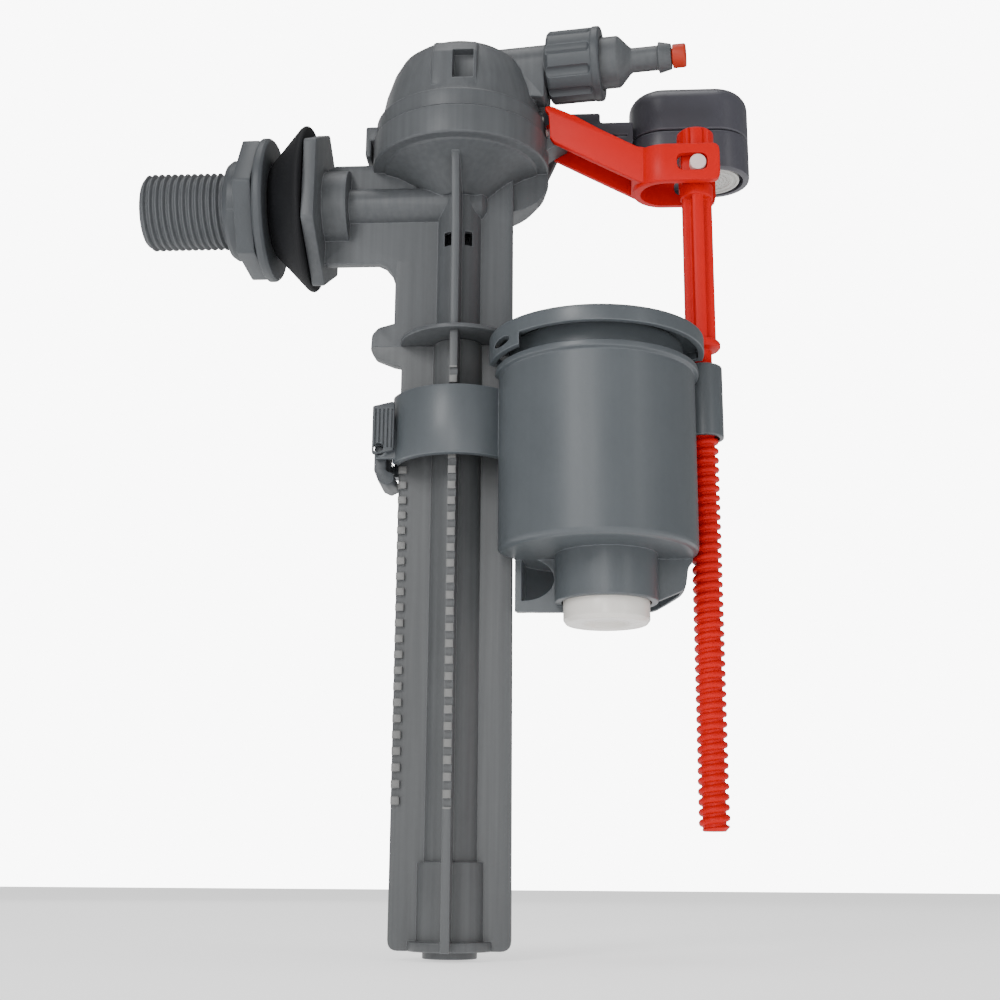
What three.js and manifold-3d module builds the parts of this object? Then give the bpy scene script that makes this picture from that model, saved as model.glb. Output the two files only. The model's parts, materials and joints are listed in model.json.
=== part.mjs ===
// Side-entry cistern fill valve with a delayed-action bucket float.
// Millimetres, +Z up. X runs along the inlet shank, away from the cistern wall.
// The origin is the centre of the flange face that seats on the cistern wall.
import * as THREE from 'three';
import { mergeVertices } from 'three/addons/utils/BufferGeometryUtils.js';
import Module from 'manifold-3d';

const wasm = await Module();
wasm.setup();

// ---------------------------------------------------------------- driving dimensions
const GAP = 0.3; // clearance between neighbouring pieces
const FACETS = 0.62; // share of the full number of facets on turned shapes

// Places, measured from the column's own axis: column axis X = 0, shank axis Z = 0.
const SEAT_X = -40; // flange face that seats on the cistern wall
const SHANK_END = -86.4;
const THREAD_RADIUS = 10.45; // G1/2 parallel thread, as moulded
const THREAD_PITCH = 1.814;
const SHANK_ROOT = 9.35;
const NUT_BORE = THREAD_RADIUS + 0.35;

const HEAD_RADIUS = 24;
const BOWL_FOOT = 9.9; // underside of the bowl's rim
const BOWL_TOP = 17.8;
const PLATE_HALF = 1.5; // half thickness of the column's plate
const FIN_HALF = 1.05;
const FIN_FRONT = -13.5;
const COLUMN_HALF = 15; // half width of the lower column
const JOINT_Z = -40.6; // where the lower column plugs into the body
const COLUMN_FOOT = -194.3;
const TOOTH_PITCH = 4;
const TOOTH_TOP = -74;
const TOOTH_COUNT = 22;
const LADDER_TOP = -51;
const LADDER_COUNT = 28;

const OUTLET_Z = 39.3; // axis of the side outlet on the cap
const OUTLET_TURN = -8 * Math.PI / 180; // the outlet points a little to the front

const PIVOT_X = 27; // lever pivot
const PIVOT_Z = 20.5;
const ROD_X = 64; // axis of the adjusting rod
const PIN_Z = 7.8; // trunnion pins in the lever's fork
const FORK_HALF = 8.5;
const CHANNEL_HALF = 6;
const ROD_PITCH = 2.5;
const ROD_ROOT = 2.9;
const ROD_THREAD = 3.85;

const BUCKET_X = 36.4;
const BUCKET_Y = -9;
const BUCKET_RADIUS = 25;
const BUCKET_WALL = 1.6;
const BUCKET_RIM = -52;
const BUCKET_FLOOR = -99.5;
const BITE_RADIUS = 16.3; // hollow in the bucket's side that clears the column
const GROOVE_RADIUS = 5.7; // groove in the bucket's side that clears the rod bracket
const BOSS_X = 38.4; // the drain is a little off the bucket's centre
const BOSS_RADIUS = 12.8;
const BOSS_FOOT = -111.5;
const COLLAR_TOP = -56.4;
const COLLAR_FOOT = -74.6;

const LATCH_X = -19.1; // the latch rocks on this pin
const LATCH_Z = -71.4;

const GUARD_PIVOT_X = 23.5;
const GUARD_PIVOT_Z = 29;
const CHAMBER_X = 63.8;
const CHAMBER_Y = 21;
const CHAMBER_HALF_X = 17;
const CHAMBER_HALF_Y = 10;
const CHAMBER_FOOT = 16;
const CHAMBER_SEAM = 27.6;
const CHAMBER_TOP = 42.4;

// ---------------------------------------------------------------- materials
const plastic = (color, roughness = 0.4) =>
  new THREE.MeshStandardMaterial({ color, roughness, metalness: 0 });
const grey = plastic(0x62676b);
const greyPart = plastic(0x676c70);
const slate = plastic(0x4a4b53, 0.45);
const red = plastic(0xd62d22, 0.35);
const white = plastic(0xe9e6e0, 0.35);
const black = plastic(0x1c1e20, 0.75);
const orange = plastic(0xd85326, 0.4);
const paleGrey = plastic(0xb4b3ad, 0.6);

// ---------------------------------------------------------------- shape helpers
const v2 = ([x, y]) => new THREE.Vector2(x, y);

// A closed outline; every corner is rounded by `radius` where that is more than zero.
function outline(points, radius = 0) {
  const shape = new THREE.Shape();
  const corners = points.map(v2);
  corners.forEach((corner, i) => {
    const before = corners[(i + corners.length - 1) % corners.length];
    const after = corners[(i + 1) % corners.length];
    const reach = Math.min(radius, corner.distanceTo(before) * 0.45, corner.distanceTo(after) * 0.45);
    const start = corner.clone().add(before.clone().sub(corner).setLength(reach || 1e-9));
    const end = corner.clone().add(after.clone().sub(corner).setLength(reach || 1e-9));
    if (i === 0) shape.moveTo(start.x, start.y);
    else shape.lineTo(start.x, start.y);
    if (radius > 0) shape.quadraticCurveTo(corner.x, corner.y, end.x, end.y);
  });
  shape.closePath();
  return shape;
}

const extruded = (shape, depth) =>
  new THREE.ExtrudeGeometry(shape, { depth, bevelEnabled: false, curveSegments: 3 });
// XY outline, from z0 up to z1
const prism = (shape, z0, z1) => extruded(shape, z1 - z0).translate(0, 0, z0);
// XZ outline, from y0 to y1
const slab = (shape, y0, y1) => extruded(shape, y1 - y0).rotateX(Math.PI / 2).translate(0, y1, 0);
// YZ outline, from x0 to x1
const toX = new THREE.Matrix4().makeBasis(
  new THREE.Vector3(0, 1, 0), new THREE.Vector3(0, 0, 1), new THREE.Vector3(1, 0, 0));
const bar = (shape, x0, x1) => extruded(shape, x1 - x0).applyMatrix4(toX).translate(x0, 0, 0);

const block = (x0, x1, y0, y1, z0, z1) => new THREE.BoxGeometry(x1 - x0, y1 - y0, z1 - z0)
  .translate((x0 + x1) / 2, (y0 + y1) / 2, (z0 + z1) / 2);

// Turned shapes: profiles of [radius, height] about Z, of [radius, x] about X, of [radius, y] about Y.
const lathe = (profile, segments) => new THREE.LatheGeometry(profile.map(v2), Math.round(segments * FACETS));
const turned = (profile, segments = 48) => lathe(profile, segments).rotateX(Math.PI / 2);
const turnedX = (profile, segments = 40) => lathe(profile, segments).rotateZ(-Math.PI / 2);
const turnedY = (profile, segments = 20) => lathe(profile, segments);
const rodProfile = (radius, from, to) => [[0, from], [radius, from], [radius, to], [0, to]];
const postZ = (radius, z0, z1, segments) => turned(rodProfile(radius, z0, z1), segments);
const postX = (radius, x0, x1, segments) => turnedX(rodProfile(radius, x0, x1), segments);
const postY = (radius, y0, y1, segments) => turnedY(rodProfile(radius, y0, y1), segments);

// A right-hand screw about Z. `turn` lists the [radius, rise] points of one turn of its thread.
function screw(turn, pitch, z0, z1, segments) {
  const steps = Math.round((z1 - z0) / pitch * segments);
  const count = turn.length;
  const positions = [];
  const faces = [];
  for (let i = 0; i <= steps; i++) {
    const angle = i / segments * 2 * Math.PI;
    for (const [radius, rise] of turn) {
      positions.push(radius * Math.cos(angle), radius * Math.sin(angle), z0 + i / segments * pitch + rise);
    }
  }
  // Point k of step i; past the last point comes the first one of the next turn.
  const at = (i, k) => (k < count ? i * count + k : (i + segments) * count);
  const loops = [[], []];
  for (let i = 0; i < steps; i++) {
    for (let k = 0; k < count; k++) {
      if (k === count - 1 && i + segments >= steps) continue;
      faces.push(at(i, k), at(i + 1, k), at(i + 1, k + 1), at(i, k), at(i + 1, k + 1), at(i, k + 1));
    }
  }
  for (let i = 0; i <= segments; i++) loops[0].push(at(i, 0));
  for (let k = count - 1; k >= 0; k--) loops[0].push(at(0, k));
  for (let i = steps - segments; i <= steps; i++) loops[1].push(at(i, count - 1));
  for (let k = count - 1; k >= 0; k--) loops[1].push(at(steps, k));
  loops.forEach((loop, side) => {
    const centre = positions.length / 3;
    positions.push(0, 0, side ? z1 : z0);
    const ring = loop.filter((point, i) => point !== loop[(i + 1) % loop.length]);
    ring.forEach((point, i) => {
      const after = ring[(i + 1) % ring.length];
      faces.push(centre, ...(side ? [point, after] : [after, point]));
    });
  });
  const geometry = new THREE.BufferGeometry();
  geometry.setAttribute('position', new THREE.Float32BufferAttribute(positions, 3));
  geometry.setIndex(faces);
  return geometry;
}

// ---------------------------------------------------------------- booleans
function solid(geometry) {
  const bare = geometry.clone();
  bare.deleteAttribute('normal');
  bare.deleteAttribute('uv');
  const merged = mergeVertices(bare, 1e-4);
  const position = merged.getAttribute('position');
  const corner = (i) => new THREE.Vector3().fromBufferAttribute(position, i);
  const triangles = [];
  let volume = 0;
  for (let i = 0; i < merged.index.count; i += 3) {
    const [a, b, c] = [0, 1, 2].map((k) => merged.index.getX(i + k));
    if (a === b || b === c || c === a) continue;
    triangles.push([a, b, c]);
    volume += corner(a).dot(corner(b).cross(corner(c)));
  }
  const triVerts = new Uint32Array(triangles.map(([a, b, c]) => (volume > 0 ? [a, b, c] : [a, c, b])).flat());
  const vertProperties = new Float32Array(position.array);
  return new wasm.Manifold(new wasm.Mesh({ numProp: 3, vertProperties, triVerts }));
}

const join = (...geometries) => geometries
  .map((part) => (part.isBufferGeometry ? solid(part) : part))
  .reduce((whole, part) => whole.add(part));
const cut = (whole, ...tools) => tools
  .map((tool) => (tool.isBufferGeometry ? solid(tool) : tool))
  .reduce((rest, tool) => rest.subtract(tool), whole);
const keep = (whole, region) => whole.intersect(solid(region));

function named(name, shape, material) {
  const whole = shape.isBufferGeometry ? solid(shape) : shape;
  const { vertProperties, triVerts } = whole.getMesh();
  const geometry = new THREE.BufferGeometry();
  geometry.setAttribute('position', new THREE.Float32BufferAttribute(vertProperties, 3));
  geometry.setIndex(new THREE.Uint32BufferAttribute(triVerts, 1));
  geometry.computeVertexNormals();
  const mesh = new THREE.Mesh(geometry, material);
  mesh.name = name;
  return mesh;
}

// ---------------------------------------------------------------- valve body
function hexagon(acrossFlats, turn) {
  const corner = acrossFlats / Math.sqrt(3);
  const shape = [];
  for (let i = 0; i < 6; i++) {
    const angle = turn + i * Math.PI / 3;
    shape.push([corner * Math.cos(angle), corner * Math.sin(angle)]);
  }
  return outline(shape, 1.2);
}

function shank() {
  const turn = [[SHANK_ROOT, 0], [THREAD_RADIUS, THREAD_PITCH / 2]];
  const thread = screw(turn, THREAD_PITCH, SHANK_END - 3, SEAT_X + 2, 12).rotateY(Math.PI / 2);
  const room = turnedX([[0, SHANK_END], [SHANK_ROOT, SHANK_END], [THREAD_RADIUS + 2, SHANK_END + 3],
    [THREAD_RADIUS + 2, SEAT_X + 1], [0, SEAT_X + 1]], 32);
  const threaded = keep(solid(thread), room);
  const flange = bar(hexagon(39, Math.PI / 2), SEAT_X, SEAT_X + 3.4);
  const boss = postX(10.2, SEAT_X + 3, -30);
  const tube = turnedX([[0, -31], [5.2, -31], [5.2, 4.4], [4.6, 6.2], [3.0, 7.3], [0, 7.7]], 28);
  return join(threaded, flange, boss, tube);
}

// Rounded ear on the left edge of the column, shared by the body and the lower column.
const EAR = outline([[-12, -33.4], [-17, -34], [-21.4, -35.2], [-23.1, -37.2], [-23.3, -41.6], [-21.8, -44],
  [-17, -46], [-12, -47]], 1);

function bodyPlate() {
  const web = slab(outline([[-37, 11], [-34.5, 12.4], [-12, 12.4], [-12, -16.8], [-37, -16.8]], 1.2),
    -PLATE_HALF, PLATE_HALF);
  const column = slab(outline([[-17.2, 12], [14.4, 12], [14.4, JOINT_Z], [-17.2, JOINT_Z]]),
    -PLATE_HALF, PLATE_HALF);
  const fillet = slab(outline([[-23, -16.2], [-17, -16.2], [-17, -23.4], [-18.2, -19.8], [-20, -17.6]], 0),
    -PLATE_HALF, PLATE_HALF);
  const ear = slab(EAR, -PLATE_HALF, PLATE_HALF);
  const finSide = outline([[0, JOINT_Z], [FIN_FRONT, JOINT_Z], [FIN_FRONT, -12], [-17, 8], [-17, 11],
    [0, 11]]);
  const fin = bar(finSide, -FIN_HALF, FIN_HALF);
  const tube = postZ(6, JOINT_Z, 3, 32);
  const rib = keep(solid(postZ(15.4, JOINT_Z, JOINT_Z + 1.1, 40)), block(-16, 16, -16, 0, -42, -36));
  const upperEar = keep(solid(ear), block(-30, 0, -5, 5, JOINT_Z, 0));
  const returnBoss = postZ(4.2, -9.6, 1, 20).translate(0, 6.6, 0);
  return join(web, column, fillet, upperEar, fin, tube, rib, returnBoss);
}

function bowl() {
  const dish = turned([[0, 1], [7, 1], [10, 3.6], [13, 6], [17, 8.2], [20.6, 9.4], [21, BOWL_FOOT],
    [23.6, BOWL_FOOT], [HEAD_RADIUS, BOWL_FOOT + 0.4], [HEAD_RADIUS, BOWL_TOP], [0, BOWL_TOP]], 56);
  const back = keep(solid(turned([[0, -2.4], [10, -2], [17, -0.6], [21, 1.4], [23.2, 4],
    [HEAD_RADIUS, 6.4], [HEAD_RADIUS, BOWL_FOOT + 1], [0, BOWL_FOOT + 1]], 56)),
  block(-25, 25, 1.2, 25, -20, 20));
  return join(dish, back);
}

function bowlHollows() {
  const chamber = turned([[0, 12.2], [20.4, 12.2], [20.4, 20], [0, 20]], 48);
  const ring = turned([[5.8, 14], [5.8, 4.4], [9, 4.4], [13, 8.2], [17.2, 10.2], [17.2, 14], [5.8, 14]], 48);
  const seatTop = postZ(6, 8.6, 14, 32);
  const back = keep(solid(turned([[0, 1], [16, 1.6], [20.4, 6], [20.4, 9], [0, 9]], 40)),
    block(-25, 25, 7.6, 25, -20, 20));
  return [chamber, ring, seatTop, back];
}

const gasketGroove = () => turned([[20.3, 16.6], [22.3, 16.6], [22.3, 20], [20.3, 20], [20.3, 16.6]], 48);

function waterWays() {
  return [
    postX(6.2, SHANK_END - 1, -59, 28),
    postX(2.8, -59.5, 3, 20),
    postZ(2.6, 0, 9, 20),
    postZ(4.6, -60, -5.4, 24),
    postZ(2.2, -6, 6, 16).translate(0, 6.6, 0),
    block(-2, 2, 0, 7, -8, -5.6),
    block(-3.7, -1.7, -7, 0, -13.8, -9.8),
    block(1.7, 3.7, -7, 0, -13.8, -9.8),
  ];
}

function leverLug() {
  const lug = slab(outline([[22.5, 13.2], [25.4, 15.4], [29, 17.4], [29.7, 20], [28.4, 23], [26.5, 23.3],
    [24.8, 22.4], [24.2, 20.5], [24.1, 17.9], [22.5, 17.7]]), -4, 4);
  return cut(solid(lug), postY(1.8, -5, 5, 16).translate(PIVOT_X, 0, PIVOT_Z));
}

function guardLug() {
  const side = outline([[8, 10.5], [20, 10.5], [27, 26], [27, 32], [20.5, 32.4], [14.4, 18], [8, 17.6]], 1);
  const lug = slab(side, 19.4, 22.2);
  return cut(solid(lug), postY(1.5, 18, 24, 16).translate(GUARD_PIVOT_X, 0, GUARD_PIVOT_Z));
}

function mainBody() {
  const whole = join(shank(), bodyPlate(), bowl());
  const hollowed = cut(whole, ...bowlHollows(), ...waterWays());
  const column = postZ(5.8, -5, 8.6, 32); // riser that carries the valve seat
  const riser = cut(solid(column), postZ(2.6, 0, 9, 20), postX(2.8, -20, 3, 20));
  return named('main_body', cut(join(hollowed, riser, leverLug(), guardLug()), gasketGroove()), grey);
}

// ---------------------------------------------------------------- lower column
function guideColumn() {
  const top = JOINT_Z - GAP;
  const plate = slab(outline([[-COLUMN_HALF, top], [COLUMN_HALF - 0.4, top],
    [COLUMN_HALF - 0.2, COLUMN_FOOT], [-COLUMN_HALF, COLUMN_FOOT]], 2.6), -PLATE_HALF, PLATE_HALF);
  const square = block(-COLUMN_HALF, COLUMN_HALF - 0.4, -PLATE_HALF, PLATE_HALF, top - 6, top);
  const tube = postZ(6.6, -196, top, 32);
  const sleeve = keep(solid(postZ(8.2, -193, -173.5, 32)), block(-9, 9, -9, 0, -200, -170));
  const foot = keep(solid(postZ(10.3, COLUMN_FOOT, -192, 32)), block(-11, 11, -11, 0, -200, -190));
  const fin = block(-FIN_HALF, FIN_HALF, FIN_FRONT, 0, COLUMN_FOOT, top);
  const spigot = postZ(4.25, top - 2, -32, 24);
  const teeth = [];
  for (let i = 0; i < TOOTH_COUNT; i++) {
    const z = TOOTH_TOP - i * TOOTH_PITCH;
    teeth.push(block(-COLUMN_HALF + 0.05, -12.7, -PLATE_HALF - 1.1, 0, z - 2, z));
  }
  const notches = [];
  for (let i = 0; i < LADDER_COUNT; i++) {
    const z = LADDER_TOP - i * TOOTH_PITCH;
    notches.push(block(-2, 2, FIN_FRONT - 1, FIN_FRONT + 0.9, z - 2, z));
  }
  const lowerEar = keep(solid(slab(EAR, -PLATE_HALF, PLATE_HALF)), block(-30, 0, -5, 5, -60, top));
  const whole = join(plate, square, lowerEar, tube, sleeve, foot, fin, spigot, ...teeth);
  const bore = join(postZ(4.9, -200, -45, 24), postZ(3.3, -50, -30, 24));
  return named('guide_column', cut(whole, bore, ...notches), grey);
}

// ---------------------------------------------------------------- shank fittings
function inletStrainer() {
  const shell = turnedX([[5, -86], [5.8, -86], [5.8, -61.5], [0, -61.5], [0, -62.3], [5, -62.3],
    [5, -86]], 24);
  const slots = [];
  for (let row = 0; row < 2; row++) {
    for (let i = 0; i < 4; i++) {
      const x = -83.4 + row * 10;
      slots.push(block(x, x + 8.4, -8, 8, -0.8, 0.8).rotateX(i * Math.PI / 4));
    }
  }
  return named('inlet_strainer', cut(solid(shell), ...slots), white);
}

const flowRegulator = () => named('flow_regulator',
  cut(solid(postX(5.8, -61, -59.4, 24)), postX(1.4, -70, -50, 12)), black);

const coneWasher = () => named('cone_washer', turnedX([[NUT_BORE, -50.5], [12.8, -50.5], [21.9, -42.1],
  [22.4, -41.4], [22.4, -40.8], [22, SEAT_X - GAP], [NUT_BORE, SEAT_X - GAP], [NUT_BORE, -50.5]], 56), black);

const clampWasher = () => named('clamp_washer', turnedX([[NUT_BORE, -53.6], [18.8, -53.6], [19.4, -53],
  [19.4, -51.6], [18.8, -50.8], [NUT_BORE, -50.8], [NUT_BORE, -53.6]], 56), greyPart);

function backnut() {
  const boss = turnedX([[0, -62.8], [12.6, -62.8], [13.6, -61.4], [13.6, -58], [0, -58]], 40);
  const hex = bar(hexagon(33, 0), -58.9, -53.9);
  const notch = block(-61.4, -59, -16, -12.4, -8.6, -5.2);
  return named('backnut', cut(join(boss, hex), postX(NUT_BORE, -80, -50, 40), notch), grey);
}

// ---------------------------------------------------------------- inside the head
const valveSeat = () => named('valve_seat', turned([[2.8, 8.9], [5.4, 8.9], [5.4, 10], [4.5, 10.2],
  [4.2, 11], [3.6, 11], [2.8, 10.2], [2.8, 8.9]], 32), white);

const diaphragm = () => named('diaphragm', turned([[6.3, 12.5], [20, 12.5], [20, 13.7], [6.3, 13.7],
  [6.3, 12.5]], 48), black);

const valvePlunger = () => named('valve_plunger', turned([[0, 14], [3.2, 14], [3.2, 13.4], [5.9, 13.4],
  [5.9, 16.2], [8.4, 16.2], [8.4, 17.4], [3, 17.4], [1.2, 21], [0, 21]], 32), white);

const plungerSeal = () => named('plunger_seal', turned([[0, 12.2], [5.7, 12.2], [5.7, 13.1], [2.9, 13.1],
  [2.9, 13.7], [0, 13.7]], 32), black);

const capGasket = () => named('cap_gasket', turned([[20.7, 16.9], [21.9, 16.9], [21.9, BOWL_TOP],
  [20.7, BOWL_TOP], [20.7, 16.9]], 48), black);

// ---------------------------------------------------------------- head cap
function headCap() {
  const shell = turned([[17, 14], [20.1, 14], [20.1, BOWL_TOP + GAP], [23.3, BOWL_TOP + GAP], [23.3, 23.8],
    [22.2, 24.4], [20.9, 30], [19, 36], [17, 39.8], [14.4, 42], [11.5, 43.3], [6, 44.5], [0, 44.9],
    [0, 36], [11, 35], [14.6, 29], [14.6, 25], [17, 22], [17, 14]], 52);
  const front = bar(outline([[0, 24.4], [-21.5, 24.4], [-21.2, 31], [-20.4, 35.6], [-17.4, 39.8], [-12.6, 42.5],
    [0, 44.3]]), -6.4, 5.8);
  const inside = turned([[0, 10], [16.9, 10], [16.9, 22], [14.5, 25], [14.5, 29], [11, 35], [0, 36]], 52);
  const window = block(-0.8, 4.8, -25, -17, 27, 36);
  const tabs = [Math.PI, Math.PI * 0.53].map((turn) =>
    block(24.4, 26, -4.2, 4.2, 13.6, 22.6).rotateZ(turn));
  const bridges = [Math.PI, Math.PI * 0.53].map((turn) =>
    block(21, 25.2, -4.2, 4.2, 18.4, 22.6).rotateZ(turn));
  const outlet = postX(6.5, 6, 24.4, 36).translate(0, 0, OUTLET_Z).rotateZ(OUTLET_TURN);
  const spigot = turnedX([[0, 24], [6.5, 24], [7.6, 25.2], [7.6, 32.4], [7.2, 32.9], [0, 32.9]], 32)
    .translate(0, 0, OUTLET_Z).rotateZ(OUTLET_TURN);
  const gusset = slab(outline([[10, 25], [20.6, 27.2], [24.3, 30], [24.3, 36], [10, 36]], 0.8), -4.6, 4.6)
    .rotateZ(OUTLET_TURN);
  const web = slab(outline([[8.7, 39.3], [8.7, 35.6], [19.8, 28], [24.2, 27.3], [24.2, 39.3]], 0.8), -6.4, 0)
    .rotateZ(OUTLET_TURN);
  const pilotBoss = postX(3, 16, 22.4, 20).translate(0, 0, 25);
  const bore = postX(4.2, 8, 34, 24).translate(0, 0, OUTLET_Z).rotateZ(OUTLET_TURN);
  const pilotBore = postX(2.1, 12, 24, 16).translate(0, 0, 25);
  const whole = cut(join(front, outlet, spigot, gusset, web, pilotBoss), inside);
  return named('head_cap', cut(join(whole, shell, ...tabs, ...bridges), window, bore, pilotBore), grey);
}

const pilotNozzle = () => named('pilot_nozzle', cut(
  join(postX(1.8, 17.4, 22.4, 16), turnedX([[0, 22.2], [1.8, 22.2], [1.1, 22.8], [0, 22.8]], 16)),
  postX(0.6, 10, 30, 10)).translate([0, 0, 25]), white);

// ---------------------------------------------------------------- side outlet
function barbNozzle() {
  const shell = turnedX([[0, 34.7], [7.6, 34.7], [7.6, 36.3], [6.9, 36.3], [6.9, 43.8], [3.5, 47.2],
    [3.3, 54.6], [4.2, 54.9], [3.4, 58.3], [0, 58.3]], 36);
  return named('barb_nozzle', cut(solid(shell), postX(2.3, 30, 60, 20), postX(4.2, 30, 42, 24)), grey);
}

const nozzleGasket = () => named('nozzle_gasket', turnedX([[4.4, 33.2], [7.4, 33.2], [7.4, 34.4], [4.4, 34.4],
  [4.4, 33.2]], 28), black);

const flowInsert = () => named('flow_insert', cut(solid(turnedX([[0, 50], [1.9, 50], [1.9, 58.6], [3.2, 58.6],
  [3.2, 61.8], [2.9, 62.2], [0, 62.2]], 24)), postX(1.1, 40, 70, 12)), orange);

function unionNut() {
  const flutes = [];
  const FLUTE_COUNT = 10;
  for (let i = 0; i < FLUTE_COUNT; i++) {
    const angle = i / FLUTE_COUNT * 2 * Math.PI;
    flutes.push(postX(1.9, 24, 37.2, 9).translate(0, 10.9 * Math.cos(angle), 10.9 * Math.sin(angle)));
  }
  const shell = turnedX([[0, 24.9], [9.2, 24.9], [9.8, 25.6], [9.8, 37.2], [10, 37.6], [10, 39],
    [9.6, 39.4], [0, 39.4]], 40);
  const bore = join(postX(8, 20, 36.6, 32), postX(7.3, 30, 45, 32));
  return named('union_nut', cut(solid(shell), bore, ...flutes), grey);
}

// ---------------------------------------------------------------- lever
function lever() {
  const side = outline([[23.3, 26.5], [25.2, 26.5], [31.4, 23.5], [38, 19.4], [48, 13.9], [52, 13.2],
    [52, 2.4], [48.5, 3.4], [36, 10.1], [25.6, 15.8], [24.6, 17.2], [24.2, 24.2], [23.3, 25.6]], 0.4);
  const channel = slab(side, -CHANNEL_HALF, CHANNEL_HALF);
  const hollow = slab(outline([[20, 34], [26.2, 34], [26.2, 24.4], [31, 22.2], [37.6, 18.2], [46.5, 13.2],
    [46.5, 0], [20, 0]]), -CHANNEL_HALF + 1.6, CHANNEL_HALF - 1.6);
  const padHolder = block(26.1, 27.6, -4.6, 4.6, 24.2, 25.9);
  const loop = outline([[47.5, -FORK_HALF], [69.8, -FORK_HALF], [69.8, FORK_HALF], [47.5, FORK_HALF]], 0);
  const left = new THREE.Shape();
  left.moveTo(55.5, -FORK_HALF);
  left.lineTo(69.8, -FORK_HALF);
  left.lineTo(69.8, FORK_HALF);
  left.lineTo(55.5, FORK_HALF);
  left.absarc(55.5, 0, FORK_HALF, Math.PI / 2, Math.PI * 1.5, false);
  const inner = FORK_HALF - 1.9;
  const room = new THREE.Shape();
  room.moveTo(55.5, -inner);
  room.lineTo(80, -inner);
  room.lineTo(80, inner);
  room.lineTo(55.5, inner);
  room.absarc(55.5, 0, inner, Math.PI / 2, Math.PI * 1.5, false);
  const forkSide = slab(outline([[46, 2.4], [69.8, 2.4], [69.8, 13.2], [46, 13.2]], 2.4), -10, 10);
  const fork = keep(solid(prism(left, 2.4, 13.2)), forkSide);
  const slot = slab(outline([[60.9 - 2.5, PIN_Z - 2.5], [66.5, PIN_Z - 2.5], [66.5, PIN_Z + 2.5],
    [60.9 - 2.5, PIN_Z + 2.5]], 2.4), -12, 12);
  const sockets = postY(1.8, -5.2, 5.2, 16).translate(PIVOT_X, 0, PIVOT_Z);
  const whole = join(cut(solid(channel), hollow), fork);
  return named('lever', join(cut(whole, prism(room, 0, 20), slot, sockets), padHolder), red);
}

const leverPivotPin = () => named('lever_pivot_pin',
  postY(1.5, -4.9, 4.9, 16).translate(PIVOT_X, 0, PIVOT_Z), white);

const pilotPad = () => named('pilot_pad',
  slab(outline([[24.1, 23.6], [25.8, 23.6], [25.8, 26.2], [24.1, 26.2]], 0.5), -2, 2), black);

function trunnion() {
  const body = slab(outline([[59.6, 4.5], [68.4, 4.5], [68.4, 13.8], [59.6, 13.8]], 1), -6.2, 6.2);
  const pins = postY(2.2, -8.7, 8.7, 20).translate(ROD_X, 0, PIN_Z);
  const neck = postZ(3.1, 0, 20, 20).translate(ROD_X, 0, 0);
  const mouth = block(ROD_X, 70, -2.3, 2.3, 0, 20);
  return named('trunnion', cut(join(body, pins), neck, mouth), white);
}

// ---------------------------------------------------------------- adjusting rod, about its own axis
function adjustingRod() {
  const spine = turned([[0, 20.2], [4.3, 20.2], [5, 19.5], [5, 14.7], [4.5, 14.1], [2.8, 14.1], [2.8, 4.2],
    [4.4, 4.2], [4.4, 0.6], [2.4, 0], [2.4, -40], [4.6, -40.4], [5.1, -41], [5.1, -42], [4.6, -42.6],
    [2.8, -43], [2.8, -51], [0, -51]], 18);
  const flutes = [];
  for (let i = 0; i < 6; i++) {
    const angle = i / 6 * 2 * Math.PI;
    flutes.push(postZ(1.1, 14, 21, 8).translate(5.4 * Math.cos(angle), 5.4 * Math.sin(angle), 0));
  }
  const ribs = [0, 1].map((i) => block(-4, 4, -1.5, 1.5, -40.4, 1).rotateZ(i * Math.PI / 2));
  const corners = postZ(4.05, -42, 2, 20);
  const turn = [[ROD_ROOT, 0], [ROD_THREAD, 0.5], [ROD_THREAD, 1.4], [ROD_ROOT, 1.9]];
  const room = turned([[0, -166], [2.7, -166], [5, -163.6], [5, -52], [3, -50], [0, -50]], 24);
  const thread = keep(solid(screw(turn, ROD_PITCH, -169, -48, 8)), room);
  const shaft = join(...ribs).intersect(solid(corners));
  return named('adjusting_rod', join(cut(solid(spine), ...flutes), shaft, thread), red);
}

// ---------------------------------------------------------------- float and bucket
// A round column about the bucket's centre, hollowed at the side for the column and for the rod.
function bucketPlan(radius, bite, groove, z0, z1, segments = 56) {
  return cut(solid(postZ(radius, z0, z1, segments).translate(BUCKET_X, BUCKET_Y, 0)),
    postZ(bite, z0 - 1, z1 + 1, 48), postZ(groove, z0 - 1, z1 + 1, 20).translate(ROD_X, 0, 0));
}

function floatLid() {
  const plate = bucketPlan(27.6, 16.5, 6, -45.4, -43.5);
  const skirt = cut(bucketPlan(27.6, 16.5, 6, -47.6, -44), bucketPlan(26, 18.1, 7.6, -50, -40));
  const hookRing = cut(bucketPlan(27.6, 16.5, 6, -50.8, -46), bucketPlan(26, 18.1, 7.6, -52, -40));
  const hook = keep(hookRing, block(5, 17.5, -30, -8, -52, -45));
  const sleeve = postZ(5.3, -67, -47.6, 28).translate(ROD_X, 0, 0);
  const bridge = block(58, 62, -4.4, 1.4, -51.5, -44);
  const hole = postZ(ROD_THREAD + 0.4, -80, -40, 24).translate(ROD_X, 0, 0);
  const eye = postY(1.2, -40, 0, 14).translate(13, 0, -47.9);
  const clearance = postZ(5.9, -47.3, -40, 24).translate(ROD_X, 0, 0);
  const lid = join(plate, skirt, hook, sleeve, cut(solid(bridge), clearance));
  return named('float_lid', cut(lid, hole, eye), greyPart);
}

const floatCup = () => named('float_cup', cut(bucketPlan(22.2, 19.6, 8, -93, -45.7),
  bucketPlan(20.9, 20.9, 9.3, -100, -47.2)), greyPart);

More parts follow.
